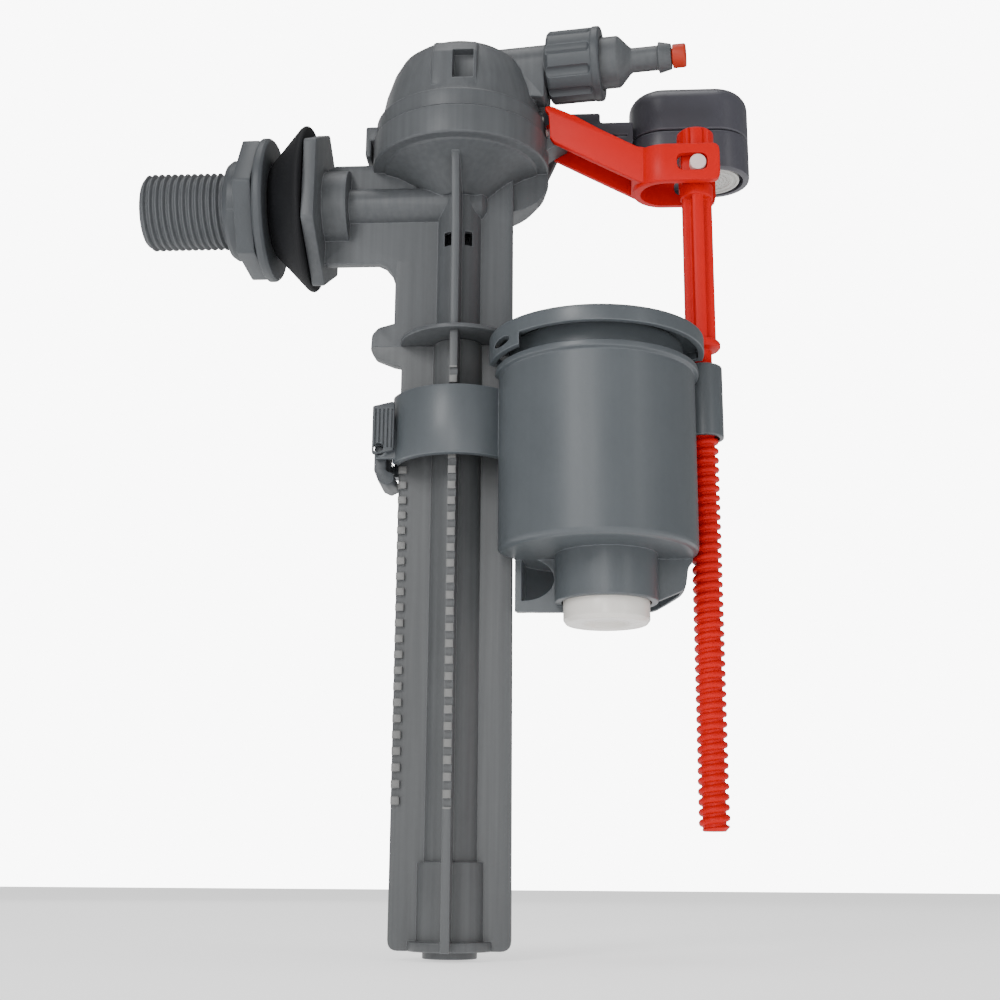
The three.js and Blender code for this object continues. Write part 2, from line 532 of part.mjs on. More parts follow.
// A strap round the column: an arc at the front and two straight sides.
function strap(radius, halfWidth, back) {
  const REACH = 0.6; // centre of the arc
  const shape = [[halfWidth, back], [-halfWidth, back]];
  const start = Math.acos(halfWidth / radius);
  for (let i = 0; i <= 12; i++) {
    const angle = Math.PI + start + i / 12 * (Math.PI - 2 * start);
    shape.push([radius * Math.cos(angle), REACH + radius * Math.sin(angle)]);
  }
  return outline(shape);
}

function collar() {
  const window = block(-30, -14.8, -6.4, 6, COLLAR_FOOT - 1, COLLAR_TOP + 1);
  const band = cut(solid(prism(strap(17.5, 17.2, 10.2), COLLAR_FOOT, COLLAR_TOP)),
    prism(strap(15.7, 15.4, 8.4), -80, -50), window);
  const ears = [[-8.3, -6.9, -14.4], [6.4, 7.8, -16]].map(([y0, y1, x]) =>
    slab(outline([[x, -73.6], [-20.2, -73.6], [-20.6, -68.6], [-16, -66], [x, -66]], 0.8), y0, y1));
  return cut(join(band, ...ears), postY(1.3, -12, 12, 14).translate(LATCH_X, 0, LATCH_Z));
}

function bucket() {
  const outer = (radius, z0, z1) => bucketPlan(radius, BITE_RADIUS, GROOVE_RADIUS, z0, z1);
  const [bite, groove] = [BITE_RADIUS + BUCKET_WALL, GROOVE_RADIUS + BUCKET_WALL];
  const room = (radius, z0, z1) => bucketPlan(radius, bite, groove, z0, z1);
  const wall = outer(BUCKET_RADIUS, BUCKET_FLOOR + 2, BUCKET_RIM);
  const bottom = outer(BUCKET_RADIUS - 1, BUCKET_FLOOR, BUCKET_FLOOR + 2.5);
  const lip = outer(BUCKET_RADIUS + 1, BUCKET_RIM - 1.6, BUCKET_RIM);
  const frontY = BUCKET_Y + 4;
  const foot = slab(outline([[10, -112.6], [30, -113.1], [42, -112], [51.5, -110.1], [58.2, -107.3],
    [59.2, -100], [80, -100], [80, -130], [10, -130]]), -60, 60);
  const slope = bar(outline([[-10, -114.1], [20, -108.6], [20, -130], [-10, -130]]), 0, 80);
  const front = keep(outer(BUCKET_RADIUS - 1, -113.5, BUCKET_FLOOR + 1),
    block(0, 80, frontY, frontY + 1.6, -114, -98));
  const notch = postY(1, -10, 0, 30).scale(7.8, 1, 5.5).translate(17.6, 0, -104.5);
  const ring = cut(outer(BUCKET_RADIUS - 1, -113.5, BUCKET_FLOOR + 1),
    room(BUCKET_RADIUS - 2.6, -120, BUCKET_FLOOR));
  const behind = keep(ring, block(0, 80, frontY, 30, -114, -98));
  const skirt = cut(join(behind, cut(front, notch)), foot, slope);
  const boss = postZ(BOSS_RADIUS, BOSS_FOOT, BUCKET_FLOOR + 1, 48).translate(BOSS_X, BUCKET_Y, 0);
  const drain = turned([[0, -115], [11.2, -115], [11.2, -106.5], [8.6, -106.5], [8.6, -97], [0, -97]], 36)
    .translate(BOSS_X, BUCKET_Y, 0);
  const spider = [0, 1].map((i) => block(-9.4, 9.4, -1.2, 1.2, -103.5, -100.5).rotateZ(i * Math.PI / 2 + 0.6)
    .translate(BOSS_X, BUCKET_Y, 0));
  const hub = postZ(4, -103.5, -100.5, 20).translate(BOSS_X, BUCKET_Y, 0);
  const stemHole = postZ(2.3, -110, -95, 16).translate(BOSS_X, BUCKET_Y, 0);
  const shell = join(wall, bottom, lip, skirt, boss, collar());
  const open = cut(shell, room(BUCKET_RADIUS - BUCKET_WALL, BUCKET_FLOOR + 1.8, BUCKET_RIM + 2), drain);
  return named('bucket', cut(join(open, ...spider, hub), stemHole), grey);
}

function heightLatch() {
  const front = slab(outline([[-20.8, -60.2], [-15.2, -58.9], [-15.2, -72.1], [-20.8, -73.2]], 0.8), -11, -9.6);
  const side = slab(outline([[-20.8, -60.2], [-19, -59.8], [-19, -65.6], [-20.8, -66.2]], 0.6), -11, -6);
  const arm = slab(outline([[-20.8, -60.2], [-18.4, -59.6], [-17.7, -66], [-17.7, -76], [-15.6, -77],
    [-15.6, -79], [-17.6, -80], [-19.6, -79], [-20.8, -76]], 0.8), -6.1, 5.7);
  const grooves = [];
  for (let i = 0; i < 4; i++) {
    const x = -19.9 + i * 1.25;
    grooves.push(block(x, x + 0.6, -12, -10.5, -71.2, -61));
  }
  const pinHole = postY(1.3, -12, 12, 14).translate(LATCH_X, 0, LATCH_Z);
  return named('height_latch', cut(join(front, side, arm), pinHole, ...grooves), grey);
}

const latchPin = () => named('latch_pin', postY(1, -8.6, 8, 14).translate(LATCH_X, 0, LATCH_Z), white);

const drainValve = () => named('drain_valve', turned([[0, -96.6], [2.9, -97], [3.3, -98.6], [3.3, -100.2],
  [1.9, -100.2], [1.9, -110.3], [10.7, -110.3], [10.7, -115.8], [10, -116.8], [6, -116.8], [5.2, -115.6],
  [0, -115.6]], 36).translate(BOSS_X, BUCKET_Y, 0), white);

const drainSeal = () => named('drain_seal', turned([[2.3, -110], [10.2, -110], [10.2, -109], [2.3, -109],
  [2.3, -110]], 36).translate(BOSS_X, BUCKET_Y, 0), black);

// ---------------------------------------------------------------- dark arm and oval chamber
function stadium(inset) {
  const radius = CHAMBER_HALF_Y - inset;
  const reach = CHAMBER_HALF_X - CHAMBER_HALF_Y;
  const shape = new THREE.Shape();
  shape.moveTo(CHAMBER_X - reach, CHAMBER_Y - radius);
  shape.lineTo(CHAMBER_X + reach, CHAMBER_Y - radius);
  shape.absarc(CHAMBER_X + reach, CHAMBER_Y, radius, -Math.PI / 2, Math.PI / 2, false);
  shape.lineTo(CHAMBER_X - reach, CHAMBER_Y + radius);
  shape.absarc(CHAMBER_X - reach, CHAMBER_Y, radius, Math.PI / 2, Math.PI * 1.5, false);
  return shape;
}

function stadiumPrism(inset, z0, z1) {
  return new THREE.ExtrudeGeometry(stadium(inset), { depth: z1 - z0, bevelEnabled: false, curveSegments: 9 })
    .translate(0, 0, z0);
}

function chamberLid() {
  const ROUND = 5;
  const dome = new THREE.ExtrudeGeometry(stadium(ROUND), {
    depth: 20,
    bevelEnabled: true,
    bevelSize: ROUND,
    bevelThickness: ROUND,
    bevelSegments: 4,
    curveSegments: 9,
  }).translate(0, 0, CHAMBER_TOP - ROUND - 20);
  const shell = keep(solid(dome), block(40, 90, 0, 40, CHAMBER_SEAM + GAP, 50));
  return named('chamber_lid', cut(shell, stadiumPrism(1.8, 20, CHAMBER_TOP - 4.5)), slate);
}

function chamberShell() {
  const shell = cut(solid(stadiumPrism(0, CHAMBER_FOOT, CHAMBER_SEAM)), stadiumPrism(1.8, 19.8, 30),
    stadiumPrism(1.8, 10, 18.2), postZ(6.4, 10, 30, 32).translate(70, CHAMBER_Y, 0));
  return named('chamber_shell', shell, slate);
}

function chamberScreen() {
  const disc = turned([[0, 16.6], [5.4, 16.6], [5.4, 16.2], [6.2, 16.2], [6.2, 16.6], [7.2, 16.6],
    [7.2, 16.2], [7.9, 16.2], [7.9, 17.9], [0, 17.9]], 36).translate(70, CHAMBER_Y, 0);
  const holes = [];
  for (let i = 0; i < 6; i++) {
    const angle = i / 6 * 2 * Math.PI;
    const [x, y] = [70 + 2 * Math.cos(angle), CHAMBER_Y + 2 * Math.sin(angle)];
    holes.push(postZ(0.45, 10, 20, 6).translate(x, y, 0));
  }
  return named('chamber_screen', cut(solid(disc), ...holes), paleGrey);
}

function guardArm() {
  const far = CHAMBER_X - CHAMBER_HALF_X + 0.9;
  const arm = slab(outline([[20.4, 25.2], [far, 24.8], [far, 31.8], [38.4, 31.8], [38.4, 34.8],
    [24.2, 34.8], [24.2, 38.2], [20.4, 38.2]], 0.7), 13.2, 19);
  const hole = postY(1.5, 10, 30, 16).translate(GUARD_PIVOT_X, 0, GUARD_PIVOT_Z);
  const groove = block(26, 46, 12, 13.8, 27.1, 27.8);
  const room = stadiumPrism(-GAP, 20, 40);
  return named('guard_arm', cut(solid(arm), hole, groove, room), slate);
}

const guardPin = () => named('guard_pin',
  postY(1.2, 13.4, 22, 14).translate(GUARD_PIVOT_X, 0, GUARD_PIVOT_Z), white);

// ---------------------------------------------------------------- assembly
const outletGroup = new THREE.Group();
outletGroup.position.z = OUTLET_Z;
outletGroup.add(barbNozzle(), nozzleGasket(), flowInsert(), unionNut());

const turnedOutlet = new THREE.Group();
turnedOutlet.rotation.z = OUTLET_TURN;
turnedOutlet.add(outletGroup);

const rodMesh = adjustingRod();
rodMesh.position.x = ROD_X;

const valve = new THREE.Group();
valve.position.x = -SEAT_X;
valve.add(
  mainBody(), guideColumn(),
  inletStrainer(), flowRegulator(), coneWasher(), clampWasher(), backnut(),
  valveSeat(), diaphragm(), valvePlunger(), plungerSeal(), capGasket(), headCap(), pilotNozzle(),
  turnedOutlet,
  lever(), leverPivotPin(), pilotPad(), trunnion(), rodMesh,
  floatLid(), floatCup(), bucket(), heightLatch(), latchPin(), drainValve(), drainSeal(),
  guardArm(), guardPin(), chamberShell(), chamberLid(), chamberScreen(),
);

const assembly = new THREE.Group();
assembly.add(valve);

export default assembly;
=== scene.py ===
import json
import math

import bmesh
import bpy
from mathutils import Matrix, Vector

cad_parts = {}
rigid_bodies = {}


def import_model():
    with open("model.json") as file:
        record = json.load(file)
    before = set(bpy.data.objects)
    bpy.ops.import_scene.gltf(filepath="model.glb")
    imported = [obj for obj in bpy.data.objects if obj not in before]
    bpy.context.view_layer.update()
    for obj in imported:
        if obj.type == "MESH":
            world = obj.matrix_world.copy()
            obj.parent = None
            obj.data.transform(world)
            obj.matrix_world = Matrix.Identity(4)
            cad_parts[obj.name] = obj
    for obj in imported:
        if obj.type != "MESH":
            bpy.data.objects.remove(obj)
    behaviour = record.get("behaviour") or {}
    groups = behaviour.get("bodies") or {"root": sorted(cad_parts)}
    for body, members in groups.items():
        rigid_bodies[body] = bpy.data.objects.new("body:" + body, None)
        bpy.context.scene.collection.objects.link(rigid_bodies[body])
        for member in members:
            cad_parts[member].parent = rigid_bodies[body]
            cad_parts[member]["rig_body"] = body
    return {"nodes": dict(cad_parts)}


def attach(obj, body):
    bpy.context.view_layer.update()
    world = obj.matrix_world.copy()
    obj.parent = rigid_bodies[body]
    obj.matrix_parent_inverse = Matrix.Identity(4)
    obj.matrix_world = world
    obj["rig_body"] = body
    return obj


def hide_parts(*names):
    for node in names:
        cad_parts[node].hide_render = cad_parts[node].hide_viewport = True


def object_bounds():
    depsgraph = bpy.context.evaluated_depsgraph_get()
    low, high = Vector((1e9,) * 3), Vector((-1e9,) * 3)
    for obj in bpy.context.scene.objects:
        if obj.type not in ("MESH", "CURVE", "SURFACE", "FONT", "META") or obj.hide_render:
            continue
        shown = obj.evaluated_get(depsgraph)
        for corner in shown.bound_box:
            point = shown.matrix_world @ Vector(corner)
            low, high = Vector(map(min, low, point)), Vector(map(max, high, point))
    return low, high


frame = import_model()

CAD_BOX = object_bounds()

# Shapes are worked out in millimetres about the guide column's own axis, then moved into the frame.
MM = 0.001
COLUMN_X = 40.0
ROUND = 0.35  # usual corner radius of a moulding
PLATE_HALF = 1.5  # half the thickness of the plates that the body and the column are built on
CHAMBER_GAP = 0.3  # between the dark arm and its chamber

# Axes that several pieces share, each as a point on the axis.
LEVER_AXIS = (27, 0, 20.5)
PILOT_AXIS = (0, 0, 25)
ROD_AXIS = (64, 0, 0)
LATCH_AXIS = (-19.1, 0, -71.4)
ARM_AXIS = (23.5, 0, 29)
RETURN_AXIS = (0, 6.6, 0)
SCREEN_AXIS = (70, 21, 0)


# ------------------------------------------------------------------ camera, light, floor
def look_camera():
    """The camera stands low in front of the valve and looks up at it."""
    pitch, yaw, roll = math.radians(14.5), math.radians(3.6), math.radians(0.4)
    data = bpy.data.cameras.new("camera")
    data.sensor_width = 36
    data.lens = 53.1
    data.clip_start = 0.01
    camera = bpy.data.objects.new("camera", data)
    forward = Vector((-math.sin(yaw) * math.cos(pitch), math.cos(yaw) * math.cos(pitch), math.sin(pitch)))
    right = Vector((math.cos(yaw), math.sin(yaw), 0))
    up = right.cross(forward)
    side = right * math.cos(roll) + up * math.sin(roll)
    top = up * math.cos(roll) - right * math.sin(roll)
    camera.matrix_world = Matrix((
        (side.x, top.x, -forward.x, 0.0745),
        (side.y, top.y, -forward.y, -0.368),
        (side.z, top.z, -forward.z, -0.178),
        (0, 0, 0, 1)))
    bpy.context.scene.collection.objects.link(camera)
    bpy.context.scene.camera = camera


def area_light(name, at, target, size, power, colour=(1, 1, 1)):
    data = bpy.data.lights.new(name, "AREA")
    data.shape = "RECTANGLE"
    data.size, data.size_y = size
    data.energy = power
    data.color = colour
    light = bpy.data.objects.new(name, data)
    light.location = at
    light.rotation_euler = (Vector(target) - Vector(at)).to_track_quat("-Z", "Y").to_euler()
    bpy.context.scene.collection.objects.link(light)


def studio():
    """A white surround that only the camera sees, a dim one for light, five area lights and a floor."""
    world = bpy.data.worlds.new("studio")
    bpy.context.scene.world = world
    world.use_nodes = True
    tree = world.node_tree
    soft = tree.nodes["Background"]
    soft.inputs["Color"].default_value = (1, 1, 1, 1)
    soft.inputs["Strength"].default_value = 0.34
    seen = tree.nodes.new("ShaderNodeBackground")
    seen.inputs["Color"].default_value = (1, 1, 1, 1)
    seen.inputs["Strength"].default_value = 9.0
    either = tree.nodes.new("ShaderNodeMixShader")
    tree.links.new(tree.nodes.new("ShaderNodeLightPath").outputs["Is Camera Ray"], either.inputs[0])
    tree.links.new(soft.outputs[0], either.inputs[1])
    tree.links.new(seen.outputs[0], either.inputs[2])
    tree.links.new(either.outputs[0], tree.nodes["World Output"].inputs["Surface"])
    middle = (0.04, 0, -0.07)
    area_light("key", (-0.3, -0.8, 0.3), middle, (0.25, 0.35), 3.9)
    area_light("fill", (0.65, -0.55, 0.0), middle, (0.12, 0.8), 0.9)
    area_light("front", (0.0, -0.95, -0.15), middle, (0.2, 0.6), 2.6)
    area_light("top", (0.0, -0.1, 0.8), middle, (0.5, 0.5), 2.5)
    area_light("back", (-0.3, 0.8, 0.35), middle, (0.6, 0.6), 1.2)

    floor = bpy.data.meshes.new("floor")
    half, z = 3.0, CAD_BOX[0][2] - 0.0005
    corners = [(-half, -half, z), (half, -half, z), (half, half, z), (-half, half, z)]
    floor.from_pydata(corners, [], [(0, 1, 2, 3)])
    stage = bpy.data.objects.new("floor", floor)
    bpy.context.scene.collection.objects.link(stage)
    pale = bpy.data.materials.new("floor")
    pale.use_nodes = True
    shader = pale.node_tree.nodes["Principled BSDF"]
    shader.inputs["Base Color"].default_value = (0.92, 0.92, 0.92, 1)
    shader.inputs["Roughness"].default_value = 0.9
    shader.inputs["Emission Color"].default_value = (1, 1, 1, 1)
    shader.inputs["Emission Strength"].default_value = 0.9
    floor.materials.append(pale)


# ------------------------------------------------------------------ materials
class Nodes:
    """Short hand for building a node tree."""

    def __init__(self, material):
        self.tree = material.node_tree

    def add(self, kind, inputs=None, **settings):
        node = self.tree.nodes.new(kind)
        for key, value in settings.items():
            setattr(node, key, value)
        for key, value in (inputs or {}).items():
            if isinstance(value, bpy.types.NodeSocket):
                self.tree.links.new(value, node.inputs[key])
            else:
                node.inputs[key].default_value = value
        return node


def lighter_teeth(material):
    """The crests of the height teeth and of the ladder on the fin are painted paler as a highlight."""
    n = Nodes(material)
    shader = material.node_tree.nodes["Principled BSDF"]
    place = n.add("ShaderNodeSeparateXYZ", {"Vector": n.add("ShaderNodeTexCoord").outputs["Object"]})
    x, y, z = (place.outputs[axis] for axis in "XYZ")

    def beyond(value, limit, operation):
        return n.add("ShaderNodeMath", {0: value, 1: limit}, operation=operation).outputs[0]

    def both(*masks):
        whole = masks[0]
        for mask in masks[1:]:
            whole = n.add("ShaderNodeMath", {0: whole, 1: mask}, operation="MULTIPLY").outputs[0]
        return whole

    teeth = both(beyond(x, 0.0275, "LESS_THAN"), beyond(y, -0.0024, "LESS_THAN"),
                 beyond(z, -0.0735, "LESS_THAN"))
    ladder = both(beyond(y, -0.01335, "LESS_THAN"), beyond(z, -0.0505, "LESS_THAN"),
                  beyond(z, -0.1615, "GREATER_THAN"))
    either = n.add("ShaderNodeMath", {0: teeth, 1: ladder}, operation="MAXIMUM").outputs[0]
    amount = n.add("ShaderNodeMath", {0: either, 1: 0.75}, operation="MULTIPLY").outputs[0]
    before = shader.inputs["Base Color"].links[0].from_socket
    # Painted highlight: the teeth and the fin ladder are mixed towards a pale grey.
    painted_teeth_highlight = n.add("ShaderNodeMix", {"Factor": amount, 6: before, 7: (0.2, 0.2, 0.195, 1)}, data_type="RGBA")
    n.tree.links.new(painted_teeth_highlight.outputs[2], shader.inputs["Base Color"])
    return material


def moulded(name, colour, rough, mottle=0.12, grain=0.05, edge=0.7, streak=0.0, coat=0.0, shine=0.5):
    """Moulded plastic or rubber: mottled colour, uneven gloss, fine grain, edges painted lighter as a
    highlight.
    """
    material = bpy.data.materials.new(name)
    material.use_nodes = True
    n = Nodes(material)
    shader = material.node_tree.nodes["Principled BSDF"]
    place = n.add("ShaderNodeTexCoord").outputs["Object"]

    cloud = n.add("ShaderNodeTexNoise", {"Vector": place, "Scale": 55.0, "Detail": 4.0, "Roughness": 0.6})
    speck = n.add("ShaderNodeTexNoise", {"Vector": place, "Scale": 1500.0, "Detail": 2.0})
    stretched = n.add("ShaderNodeMapping", {"Vector": place, "Scale": (700.0, 700.0, 18.0)})
    flow = n.add("ShaderNodeTexNoise", {"Vector": stretched.outputs["Vector"], "Scale": 1.0, "Detail": 3.0})

    dark = tuple(c * (1 - mottle) for c in colour) + (1,)
    light = tuple(min(1, c * (1 + mottle) + 0.004) for c in colour) + (1,)
    tone = n.add("ShaderNodeMix", {"Factor": cloud.outputs["Fac"], 6: dark, 7: light}, data_type="RGBA")
    streaked = n.add("ShaderNodeMapRange", {"Value": flow.outputs["Fac"], "From Min": 0.35, "From Max": 0.75,
                                            "To Min": 0.0, "To Max": streak})
    pale = tuple(min(1, c * 1.7 + 0.01) for c in colour) + (1,)
    flowed = n.add("ShaderNodeMix", {"Factor": streaked.outputs["Result"], 6: tone.outputs[2], 7: pale},
                   data_type="RGBA")

    # Painted highlight: every rounded edge is painted lighter, by up to `edge`, where the bevel normal turns
    # away from the face normal.
    bevel = n.add("ShaderNodeBevel", {"Radius": 0.0004}, samples=6)
    flat = n.add("ShaderNodeNewGeometry").outputs["Normal"]
    same = n.add("ShaderNodeVectorMath", {0: bevel.outputs["Normal"], 1: flat}, operation="DOT_PRODUCT")
    painted_edge_highlight = n.add("ShaderNodeMapRange", {"Value": same.outputs["Value"], "From Min": 0.985, "From Max": 0.9,
                                        "To Min": 0.0, "To Max": edge})
    edge_highlight_colour = tuple(min(1, c * 2.1 + 0.02) for c in colour) + (1,)
    final = n.add("ShaderNodeMix", {"Factor": painted_edge_highlight.outputs["Result"], 6: flowed.outputs[2], 7: edge_highlight_colour},
                  data_type="RGBA")
    n.tree.links.new(final.outputs[2], shader.inputs["Base Color"])

    gloss = n.add("ShaderNodeMapRange", {"Value": cloud.outputs["Fac"], "From Min": 0.0, "From Max": 1.0,
                                         "To Min": rough - 0.09, "To Max": rough + 0.11})
    n.tree.links.new(gloss.outputs["Result"], shader.inputs["Roughness"])
    bump = n.add("ShaderNodeBump", {"Height": speck.outputs["Fac"], "Strength": grain, "Distance": 0.0001,
                                    "Normal": bevel.outputs["Normal"]})
    n.tree.links.new(bump.outputs["Normal"], shader.inputs["Normal"])
    shader.inputs["Coat Weight"].default_value = coat
    shader.inputs["Specular IOR Level"].default_value = shine
    shader.inputs["Coat Roughness"].default_value = 0.2
    return material


GREY = moulded("grey_plastic", (0.068, 0.073, 0.078), 0.42, streak=0.25, shine=0.32)
GREY_COLUMN = lighter_teeth(moulded("grey_column", (0.074, 0.078, 0.081), 0.42, streak=0.3, shine=0.4))
GREY_CLEAN = moulded("grey_bucket", (0.066, 0.076, 0.084), 0.4, mottle=0.07, streak=0.05, coat=0.05)
GREY_DARK = moulded("grey_nut", (0.056, 0.062, 0.068), 0.42, shine=0.32)
SLATE = moulded("slate_plastic", (0.048, 0.048, 0.06), 0.36, mottle=0.08)
RED = moulded("red_plastic", (0.56, 0.002, 0.001), 0.42, mottle=0.06, edge=0.02, shine=0.16)
WHITE = moulded("white_plastic", (0.78, 0.75, 0.7), 0.25, mottle=0.03, edge=0.0, coat=0.3)
PINK = moulded("pale_pin", (0.72, 0.58, 0.55), 0.3, mottle=0.05, edge=0.0)
BLACK = moulded("black_rubber", (0.004, 0.0045, 0.006), 0.7, mottle=0.3, grain=0.2, edge=0.3, shine=0.25)
ORANGE = moulded("orange_plastic", (0.42, 0.022, 0.004), 0.45, mottle=0.1, edge=0.05, shine=0.3)
PALE = moulded("pale_plastic", (0.42, 0.42, 0.4), 0.5, mottle=0.12)


# ------------------------------------------------------------------ solids
def solid(vertices, faces):
    """A closed mesh with its normals facing out, as a new object."""
    mesh = bpy.data.meshes.new("solid")
    mesh.from_pydata(vertices, [], faces)
    work = bmesh.new()
    work.from_mesh(mesh)
    bmesh.ops.remove_doubles(work, verts=work.verts, dist=1e-5)
    bmesh.ops.recalc_face_normals(work, faces=work.faces)
    work.to_mesh(mesh)
    work.free()
    piece = bpy.data.objects.new("solid", mesh)
    bpy.context.scene.collection.objects.link(piece)
    return piece


def rounded(points, radius, closed=True, steps=3):
    """The outline with each clear corner turned into a small arc."""
    result = []
    count = len(points)
    for i, point in enumerate(points):
        if not closed and i in (0, count - 1):
            result.append(tuple(point))
            continue
        here = Vector(point)
        before = Vector(points[i - 1]) - here
        after = Vector(points[(i + 1) % count]) - here
        if before.length < 1e-6 or after.length < 1e-6:
            continue
        turn = math.pi - before.angle(after)
        reach = min(radius * math.tan(turn / 2), before.length * 0.42, after.length * 0.42)
        if turn < 0.2 or reach < 0.02:
            result.append(tuple(point))
            continue
        start, end = here + before.normalized() * reach, here + after.normalized() * reach
        for k in range(steps + 1):
            t = k / steps
            result.append(tuple(start * (1 - t) ** 2 + here * 2 * t * (1 - t) + end * t * t))
    return result


def turned(profile, segments=96, radius=ROUND, axis="Z"):
    """A turned solid from a profile of (radius, height), closed or with both ends on the axis."""
    closed = profile[0] == profile[-1]
    points = rounded(profile[:-1] if closed else profile, radius, closed)
    points = [(0.0 if r < 1e-6 else r, h) for r, h in points]
    vertices, rings = [], []
    for r, h in points:
        if r == 0:
            rings.append([len(vertices)] * segments)
            vertices.append((0, 0, h))
            continue
        rings.append(list(range(len(vertices), len(vertices) + segments)))
        vertices += [(r * math.cos(2 * math.pi * k / segments), r * math.sin(2 * math.pi * k / segments), h)
                     for k in range(segments)]
    faces = []
    pairs = list(zip(rings, rings[1:])) + ([(rings[-1], rings[0])] if closed else [])
    for low, high in pairs:
        for k in range(segments):
            j = (k + 1) % segments
            ring = [low[k], low[j], high[j], high[k]]
            face = [v for m, v in enumerate(ring) if v not in ring[:m]]
            if len(face) > 2:
                faces.append(face)
    piece = solid(vertices, faces)
    if axis == "X":
        piece.data.transform(Matrix.Rotation(math.pi / 2, 4, "Y"))
    if axis == "Y":
        piece.data.transform(Matrix.Rotation(-math.pi / 2, 4, "X"))
    return piece


def post(radius, low, high, at=(0, 0, 0), axis="Z", segments=64, edge=0.0):
    profile = [(0, low), (radius, low), (radius, high), (0, high)]
    return moved(turned(profile, segments, edge, axis), at)


def extruded(points, low, high, plane="XY", corner=0.0, edge=ROUND):
    """A prism from an outline in XY, XZ or YZ, with its edges rounded."""
    outline = rounded(points, corner, steps=5) if corner else [tuple(p) for p in points]
    put = {
        "XY": lambda a, b, t: (a, b, t),
        "XZ": lambda a, b, t: (a, t, b),
        "YZ": lambda a, b, t: (t, a, b),
    }[plane]
    count = len(outline)
    vertices = [put(a, b, low) for a, b in outline] + [put(a, b, high) for a, b in outline]
    faces = [list(range(count)), list(range(count, 2 * count))]
    faces += [[k, (k + 1) % count, count + (k + 1) % count, count + k] for k in range(count)]
    piece = solid(vertices, faces)
    if edge:
        work = bmesh.new()
        work.from_mesh(piece.data)
        sharp = [e for e in work.edges if e.calc_face_angle(0) > 0.6]
        bmesh.ops.bevel(work, geom=sharp, offset=edge, segments=2, profile=0.5, affect="EDGES",
                        clamp_overlap=True)
        work.to_mesh(piece.data)
        work.free()
    return piece


def block(x0, x1, y0, y1, z0, z1, edge=0.0):
    return extruded([(x0, y0), (x1, y0), (x1, y1), (x0, y1)], z0, z1, "XY", 0, edge)


def moved(piece, at=(0, 0, 0), spin=0.0, about="Z"):
    piece.data.transform(Matrix.Translation(at) @ Matrix.Rotation(spin, 4, about))
    return piece


def discard(piece):
    mesh = piece.data
    bpy.data.objects.remove(piece)
    bpy.data.meshes.remove(mesh)


def boolean(whole, operation, tools):
    """Applies each tool to the whole in turn, and discards the tools."""
    for tool in tools:
        modifier = whole.modifiers.new("boolean", "BOOLEAN")
        modifier.operation = operation
        modifier.solver = "MANIFOLD"
        modifier.object = tool
        bpy.context.view_layer.update()
        made = bpy.data.meshes.new_from_object(whole.evaluated_get(bpy.context.evaluated_depsgraph_get()))
        whole.modifiers.clear()
        old, whole.data = whole.data, made
        bpy.data.meshes.remove(old)
        discard(tool)
    return whole


def join(whole, *others):
    return boolean(whole, "UNION", others)


def cut(whole, *tools):
    return boolean(whole, "DIFFERENCE", tools)


def keep(whole, region):
    return boolean(whole, "INTERSECT", [region])


def screw(turn, pitch, low, high, segments):
    """A right-hand screw about Z. `turn` lists the (radius, rise) points of one turn of its thread."""
    steps = round((high - low) / pitch * segments)
    count = len(turn)
    vertices = []
    for i in range(steps + 1):
        angle = i / segments * 2 * math.pi
        vertices += [(r * math.cos(angle), r * math.sin(angle), low + i / segments * pitch + rise)
                     for r, rise in turn]

    def at(i, k):
        return i * count + k if k < count else (i + segments) * count

    faces = []
    for i in range(steps):
        for k in range(count):
            if k < count - 1 or i + segments < steps:
                faces.append([at(i, k), at(i + 1, k), at(i + 1, k + 1), at(i, k + 1)])
    loops = [
        [at(i, 0) for i in range(segments + 1)] + [at(0, k) for k in reversed(range(1, count))],
        [at(i, count - 1) for i in range(steps - segments, steps + 1)]
        + [at(steps, k) for k in reversed(range(count - 1))],
    ]
    for loop, height in zip(loops, (low, high)):
        centre = len(vertices)
        vertices.append((0, 0, height))
        faces += [[centre, point, loop[(i + 1) % len(loop)]] for i, point in enumerate(loop)]
    return solid(vertices, faces)


def stand_in(node, piece, material, angle=32, label=None):
    """Puts a finished solid into the frame in place of a CAD node."""
    piece.data.transform(Matrix.Scale(MM, 4) @ Matrix.Translation((COLUMN_X, 0, 0)))
    piece.name = label or node + "_detail"
    piece.data.name = piece.name
    piece.data.materials.clear()
    piece.data.materials.append(material)
    for polygon in piece.data.polygons:
        polygon.use_smooth = True
        polygon.material_index = 0
    piece.data.set_sharp_from_angle(angle=math.radians(angle))
    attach(piece, frame["nodes"][node]["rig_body"])
    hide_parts(node)


def prism(points, low, high, corner=0.0, edge=0.0):
    return extruded(points, low, high, "XY", corner, edge)


def slab(points, low, high, corner=0.0, edge=0.0):
    return extruded(points, low, high, "XZ", corner, edge)


def bar(points, low, high, corner=0.0, edge=0.0):
    return extruded(points, low, high, "YZ", corner, edge)


def box_of(x0, x1, z0, z1):
    return [(x0, z0), (x1, z0), (x1, z1), (x0, z1)]


def around(count, radius, start=0.0):
    """Points spaced evenly on a circle."""
    angles = [start + 2 * math.pi * i / count for i in range(count)]
    return [(radius * math.cos(angle), radius * math.sin(angle)) for angle in angles]


# ------------------------------------------------------------------ valve body
SEAT_X, SHANK_END = -40, -86.4
THREAD_RADIUS, THREAD_ROOT, THREAD_PITCH = 10.45, 9.35, 1.814
NUT_BORE = THREAD_RADIUS + 0.35
JOINT_Z, COLUMN_FOOT = -40.6, -194.3
FIN_HALF, FIN_FRONT = 1.05, -13.5
EAR = [(-12, -33.4), (-17, -34), (-21.4, -35.2), (-23.1, -37.2), (-23.3, -41.6), (-21.8, -44), (-17, -46),
       (-12, -47)]


def hexagon(across_flats, turn):
    return around(6, across_flats / math.sqrt(3), turn)


